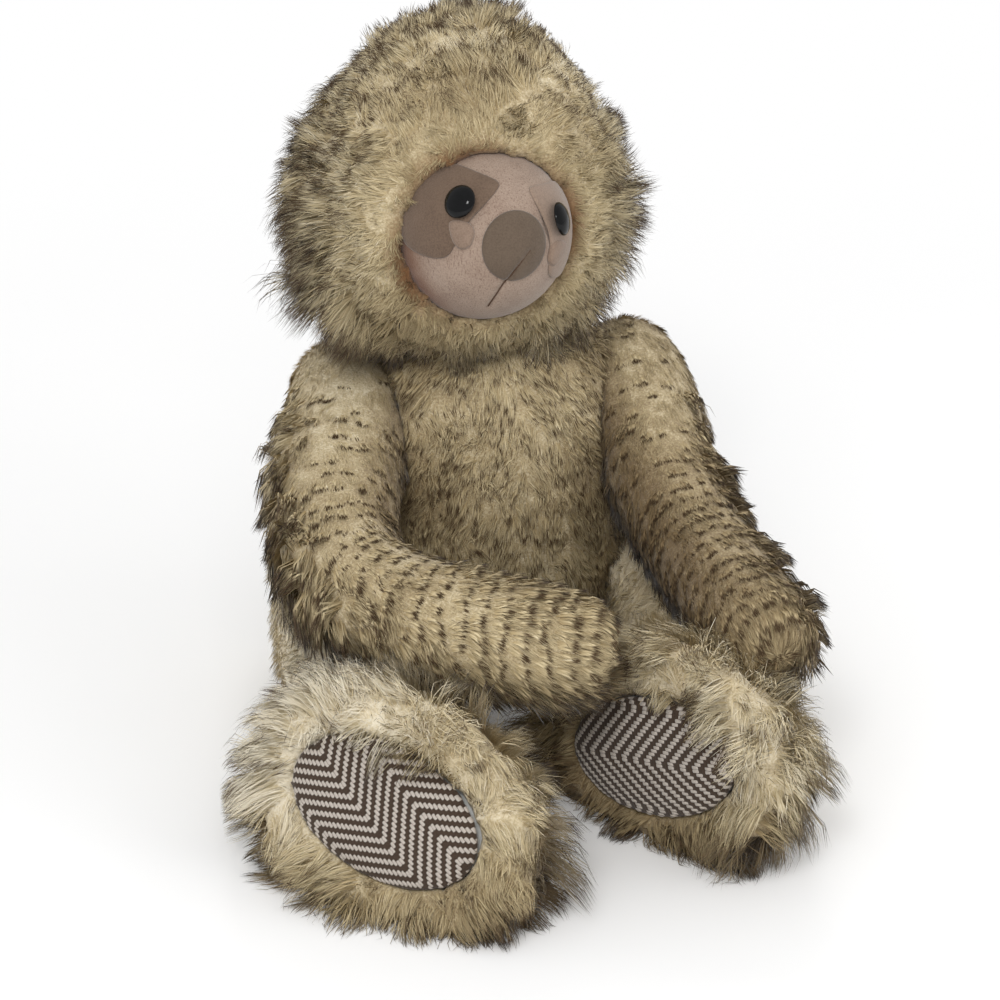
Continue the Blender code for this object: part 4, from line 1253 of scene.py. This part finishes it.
def closed_curve(points, count):
    """Places spread along a smooth closed line through the points."""
    made = []
    size = len(points)
    for index in range(count):
        at = index * size / count
        k = int(at)
        t = at - k
        p0, p1, p2, p3 = (np.array(points[(k + j - 1) % size]) for j in range(4))
        square = (2 * p0 - 5 * p1 + 4 * p2 - p3) * t ** 2
        cube = (3 * p1 - p0 - 3 * p2 + p3) * t ** 3
        made.append(0.5 * (2 * p1 + (p2 - p0) * t + square + cube))
    return made


RING_SHARES = (0.985, 0.95, 0.88, 0.76, 0.62, 0.46, 0.30, 0.14)
ROLL_WIDTH = 1.6 * MM
CROWN_WIDTH = 8 * MM
VELOUR_GAP = 0.12 * MM
VELOUR_WALL = 0.7 * MM


def applique(name, plan, height, finish, node, crown=0.0, dent=None):
    """A piece of velour with a rolled edge, cut to a plan and laid on the face."""
    deselect()
    bpy.ops.mesh.primitive_circle_add(vertices=len(plan), radius=10 * MM, fill_type="NOTHING")
    piece = named(name)
    middle = np.mean(plan, axis=0)
    for vertex, place in zip(piece.data.vertices, plan):
        vertex.co = (*place, 0)
    bpy.ops.object.mode_set(mode="EDIT")
    bpy.ops.mesh.select_all(action="SELECT")
    scale = 1.0
    for share in RING_SHARES:
        bpy.ops.mesh.extrude_region_move()
        bpy.ops.transform.resize(value=(share / scale,) * 2 + (1,), center_override=(*middle, 0))
        scale = share
    bpy.ops.mesh.edge_face_add()
    bpy.ops.mesh.poke()
    bpy.ops.mesh.select_all(action="SELECT")
    bpy.ops.mesh.subdivide(number_cuts=1, smoothness=0)
    bpy.ops.mesh.normals_make_consistent(inside=False)
    bpy.ops.object.mode_set(mode="OBJECT")
    if sum(p.normal.z * p.area for p in piece.data.polygons) < 0:
        piece.data.flip_normals()
    outline = np.array([*plan, plan[0]])
    for vertex in piece.data.vertices:
        place = np.array(vertex.co[:2])
        edge = distance_to_line(place[None], outline)[0]
        roll = math.sqrt(max(0.0, 1 - (1 - min(1.0, edge / ROLL_WIDTH)) ** 2))
        rise = VELOUR_GAP + height * roll + crown * min(1.0, edge / CROWN_WIDTH)
        if dent:
            rise -= dent(place)
        vertex.co = on_face(place[0], place[1], rise)
    modify(piece, "SOLIDIFY", thickness=VELOUR_WALL, offset=-1)
    bpy.ops.object.shade_smooth()
    settle(piece, FACE)
    use(piece, finish)
    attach(piece, "head")
    if node:
        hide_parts(node)
    return piece


def seam_dent(place):
    """The nose is pulled in along the mouth's seam."""
    gap = distance_to_line(place[None], np.array(SEAM) * MM)[0]
    return SEAM_DEPTH * math.exp(-(gap / NOSE_SEAM_WIDTH) ** 2)


def face_pieces():
    face_panel()
    for word, side in EYES.items():
        plan = [(side * (EYE_PATCH_SIDE - across * EYE_PATCH_WIDTH), EYE_PATCH_UP + up * EYE_PATCH_HEIGHT)
                for across, up in EYE_PATCH_PLAN]
        patch = applique(f"eye_patch_{word}_velour", closed_curve(plan, 96), 0.9 * MM, PATCH_VELOUR[word],
                         f"eye_patch_{word}")
        aside, over = LID_PLACES[word]
        lid = [(side * (aside + x) * MM, (over + y) * MM) for x, y in LID_PLAN]
        lid = closed_curve(lid, 48)
        fold = applique(f"lower_lid_{word}", lid, 1.7 * MM, LID_VELOUR, None, crown=0.8 * MM)
        eye(word, side)
    turns = np.arange(96) * math.tau / 96
    across = np.cos(turns) * NOSE_RADII[0] + NOSE_SIDE
    plan = np.stack([across, np.sin(turns) * NOSE_RADII[1] - NOSE_DROP], axis=1)
    nose = applique("nose_velour", plan, 1.1 * MM, NOSE_VELOUR, "nose_patch", crown=0.6 * MM, dent=seam_dent)
    mouth()


def eye(word, side):
    """A domed safety eye with a short rounded skirt, pressed in at its outer side."""
    deselect()
    bpy.ops.mesh.primitive_uv_sphere_add(segments=64, ring_count=40, radius=EYE_RADIUS)
    piece = named(f"eye_{word}_dome")
    bpy.ops.object.mode_set(mode="EDIT")
    press_half(piece, 1, EYE_BULGE / EYE_RADIUS)
    press_half(piece, -1, EYE_SKIRT / EYE_RADIUS)
    bpy.ops.object.mode_set(mode="OBJECT")
    bpy.ops.object.shade_smooth()
    turned = Matrix.Rotation(side * EYE_TURN, 4, "Y")
    settle(piece, eye_frame(side) @ Matrix.Translation((0, 0, EYE_SEAT + EYE_SKIRT)) @ turned)
    use(piece, EYE_GLOSS)
    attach(piece, "head")
    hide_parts(f"eye_{word}")


def mouth():
    """The brown thread pressed into the nose and down the chin."""
    deselect()
    bpy.ops.curve.primitive_bezier_curve_add()
    piece = named("mouth_thread")
    piece.data.splines.clear()
    spline = piece.data.splines.new("NURBS")
    spline.points.add(len(SEAM) - 1)
    for point, (x, y) in zip(spline.points, SEAM):
        on_nose = math.hypot(x - NOSE_SIDE / MM, y + NOSE_DROP / MM) < NOSE_RADII[0] / MM - 0.5
        lift = 1.0 * MM if on_nose else -0.45 * MM
        point.co = (*on_face(x * MM, y * MM, lift), 1)
    spline.use_endpoint_u = True
    spline.order_u = 3
    piece.data.bevel_depth = THREAD_RADIUS
    piece.data.bevel_resolution = 3
    piece.data.use_fill_caps = True
    activate(piece)
    bpy.ops.object.convert(target="MESH")
    piece = bpy.context.object
    piece.name = "mouth_thread"
    settle(piece, FACE)
    use(piece, THREAD)
    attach(piece, "head")
    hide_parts("mouth_stitch")


def weave_place(flat, word):
    """Where the points of a sole lie on the cloth, which is cut at its own slant for each foot."""
    slant, stretch, shift = WEAVE_CUTS[word]
    turn = np.array(((math.cos(slant), math.sin(slant)), (-math.sin(slant), math.cos(slant))))
    return flat[:, :2] @ turn.T / stretch + np.array((0, shift))


def weave_height(along, across):
    """The yarns' height over a sole, from 0 to 1, from distances in metres."""
    u, v = along / YARN, across / YARN
    wave = np.abs((v + HERRINGBONE_ENDS) % (2 * HERRINGBONE_ENDS) - HERRINGBONE_ENDS)
    phase = (u - np.floor(wave)) % 4
    light = (1 - (2 * (v % 1) - 1) ** 2) * np.abs(np.sin(phase * math.pi / 2))
    cross = (1 - (2 * (u % 1) - 1) ** 2) * np.abs(np.sin(phase * math.pi / 2))
    return np.where(phase < 2, light, 0.55 * cross)


SOLE_VOXEL = 1.8 * MM
SOLE_PRESSURE = 3.0
SOLE_SWELL_LIMIT = 1.5 * MM


def sole(word):
    """A stuffed sole of herringbone tweed, with its yarns raised."""
    piece = copy_of(f"sole_pad_{word}", f"sole_{word}_tweed")
    modify(piece, "REMESH", mode="VOXEL", voxel_size=SOLE_VOXEL, use_smooth_shade=True)
    modify(piece, "SMOOTH", factor=0.5, iterations=4)
    swell(piece, SOLE_PRESSURE, SOLE_SWELL_LIMIT)
    place = sole_frame(word)
    back = place.inverted()
    activate(piece)
    bpy.ops.object.mode_set(mode="EDIT")
    form = bmesh.from_edit_mesh(piece.data)
    out = place.to_3x3().col[2]
    for face in form.faces:
        face.select_set(face.normal.dot(out) > 0.1)
    bmesh.update_edit_mesh(piece.data)
    bpy.ops.mesh.subdivide(number_cuts=3, smoothness=0)
    bpy.ops.object.mode_set(mode="OBJECT")
    modify(piece, "SMOOTH", factor=0.5, iterations=4)
    places = vertices_of(piece.data)
    normals = normals_of(piece.data)
    turn = np.array(back.to_3x3())
    flat = places @ turn.T + np.array(back.to_translation())
    front = smooth(0.1, 0.5, normals @ np.array(out))
    cloth = weave_place(flat, word)
    height = weave_height(cloth[:, 0], cloth[:, 1]) * YARN_RISE * front
    set_vertices(piece.data, places + normals * height[:, None])
    layer = piece.data.uv_layers.new(name="weave")
    corner = np.empty(len(piece.data.loops), np.int32)
    piece.data.loops.foreach_get("vertex_index", corner)
    layer.data.foreach_set("uv", (cloth[corner] / WEAVE_SPAN).astype(np.float32).ravel())
    bpy.ops.object.shade_smooth()
    use(piece, TWEED)
    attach(piece, f"leg_{word}")
    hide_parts(f"sole_pad_{word}")


def inner_pieces():
    """The stuffing, bag, discs and washers keep their solids and get their own finish."""
    for name, node in frame["nodes"].items():
        if name.endswith("_stuffing"):
            use(node, STUFFING)
        elif name == "pellet_bag":
            use(node, BAG_CLOTH)
        elif name.endswith(("_disc", "_ring")) or name.startswith("eye_washer"):
            use(node, NYLON)


# Studio

CAMERA_PLACE = Vector((-0.2015, -1.1624, 0.6249))
CAMERA_TARGET = Vector((0, -0.02, 0.084))
CAMERA_LENS = 107.16

# Lamps: name, place, size and power. Only the glint shows in the eyes.
LAMPS = (
    ("key", (-0.5, -1.5, 1.5), 1.4, 15),
    ("fill", (1.3, -0.9, 0.9), 1.2, 6),
    ("back", (0.3, 1.4, 1.3), 0.9, 7),
    ("glint", (-0.48, -1.4, 1.4), 0.34, 7.5),
)


def studio():
    """A pale floor and soft light from above and in front, with the camera at the photograph's angle."""
    deselect()
    bpy.ops.mesh.primitive_plane_add(size=8)
    floor = named("studio_floor")
    made, tree, shader = new_material("studio_floor")
    place = own_place(tree)
    cloudy = mottle(tree, place, 3.0)
    white = mix_colour(tree, cloudy, paint(248, 248, 248), paint(252, 252, 252))
    tree.links.new(white, shader.inputs["Base Color"])
    set_shader(shader, Roughness=0.9, Specular_IOR_Level=0.0)
    far = add(tree, "ShaderNodeVectorMath", operation="LENGTH", inputs={0: place}).outputs["Value"]
    fade = soft_step(tree, far, 0.30, 0.75)
    seen = add(tree, "ShaderNodeLightPath").outputs["Is Camera Ray"]
    white = add(tree, "ShaderNodeEmission", inputs={"Color": (1, 1, 1, 1), "Strength": 1.0})
    mixed = add(tree, "ShaderNodeMixShader", inputs={0: maths(tree, "MULTIPLY", fade, seen)})
    tree.links.new(shader.outputs[0], mixed.inputs[1])
    tree.links.new(white.outputs[0], mixed.inputs[2])
    tree.links.new(mixed.outputs[0], tree.nodes["Material Output"].inputs["Surface"])
    use(floor, made)
    world = bpy.data.worlds.new("studio")
    bpy.context.scene.world = world
    world.use_nodes = True
    tree = world.node_tree
    sky = tree.nodes["Background"]
    seen = add(tree, "ShaderNodeLightPath")
    bright = maths(tree, "MAXIMUM", seen.outputs["Is Camera Ray"], seen.outputs["Is Transmission Ray"])
    level = maths(tree, "ADD", maths(tree, "MULTIPLY", bright, 0.40), 0.60)
    tree.links.new(level, sky.inputs["Strength"])
    sky.inputs["Color"].default_value = (1, 1, 1, 1)
    for name, place, size, power in LAMPS:
        light = bpy.data.objects.new(f"{name}_light", bpy.data.lights.new(name, "AREA"))
        light.data.size = size
        light.visible_glossy = name == "glint"
        light.data.energy = power
        light.location = place
        light.rotation_euler = (CAMERA_TARGET - Vector(place)).to_track_quat("-Z", "Y").to_euler()
        bpy.context.scene.collection.objects.link(light)
    camera = bpy.data.objects.new("camera", bpy.data.cameras.new("camera"))
    camera.location = CAMERA_PLACE
    camera.rotation_euler = (CAMERA_TARGET - CAMERA_PLACE).to_track_quat("-Z", "Y").to_euler()
    camera.data.lens = CAMERA_LENS
    camera.data.sensor_width = 36
    bpy.context.scene.collection.objects.link(camera)
    bpy.context.scene.camera = camera
    bpy.context.scene.view_settings.view_transform = "Standard"


PILE = pile_material()
UNDERFUR = underfur_material()
SPRAYED = paint(104, 62, 34)
FACE_VELOUR = velour_material("face_velour", paint(160, 141, 126), paint(122, 100, 86), 0.7, SPRAYED)
# The far (left) eye patch is the same velour painted lighter, a painted sheen of its nap.
PATCH_VELOUR = {
    "right": velour_material("patch_velour", paint(112, 93, 78), paint(84, 68, 56), 0.2),
    "left": velour_material("patch_velour_painted_sheen", paint(146, 126, 111), paint(116, 98, 84), 0.2),
}
LID_VELOUR = velour_material("lid_velour", paint(138, 118, 103), paint(110, 91, 77), 0.2)
NOSE_VELOUR = velour_material("nose_velour", paint(100, 86, 73), paint(80, 67, 55), 0.1)
TWEED = tweed_material()
EYE_GLOSS = eye_material()
THREAD = grained_material("brown_seam_thread", paint(58, 40, 28), paint(92, 66, 46), 2500.0, 0.85)
STUFFING = grained_material("stuffing_fibre", paint(225, 225, 220), paint(245, 245, 242), 300.0, 0.95)
BAG_CLOTH = grained_material("pellet_bag_cloth", paint(180, 178, 172), paint(206, 204, 198), 700.0, 0.9)
NYLON = grained_material("joint_nylon", paint(222, 221, 216), paint(236, 235, 231), 120.0, 0.45)

inner_pieces()
face_pieces()
for word in SOLES:
    sole(word)
for name, body, steps, count, rule, beside, seed in SKINS:
    skin = fur_skin(name, body, rule, beside)
    grow(name, body, skin, steps, count, rule, beside, seed)
studio()
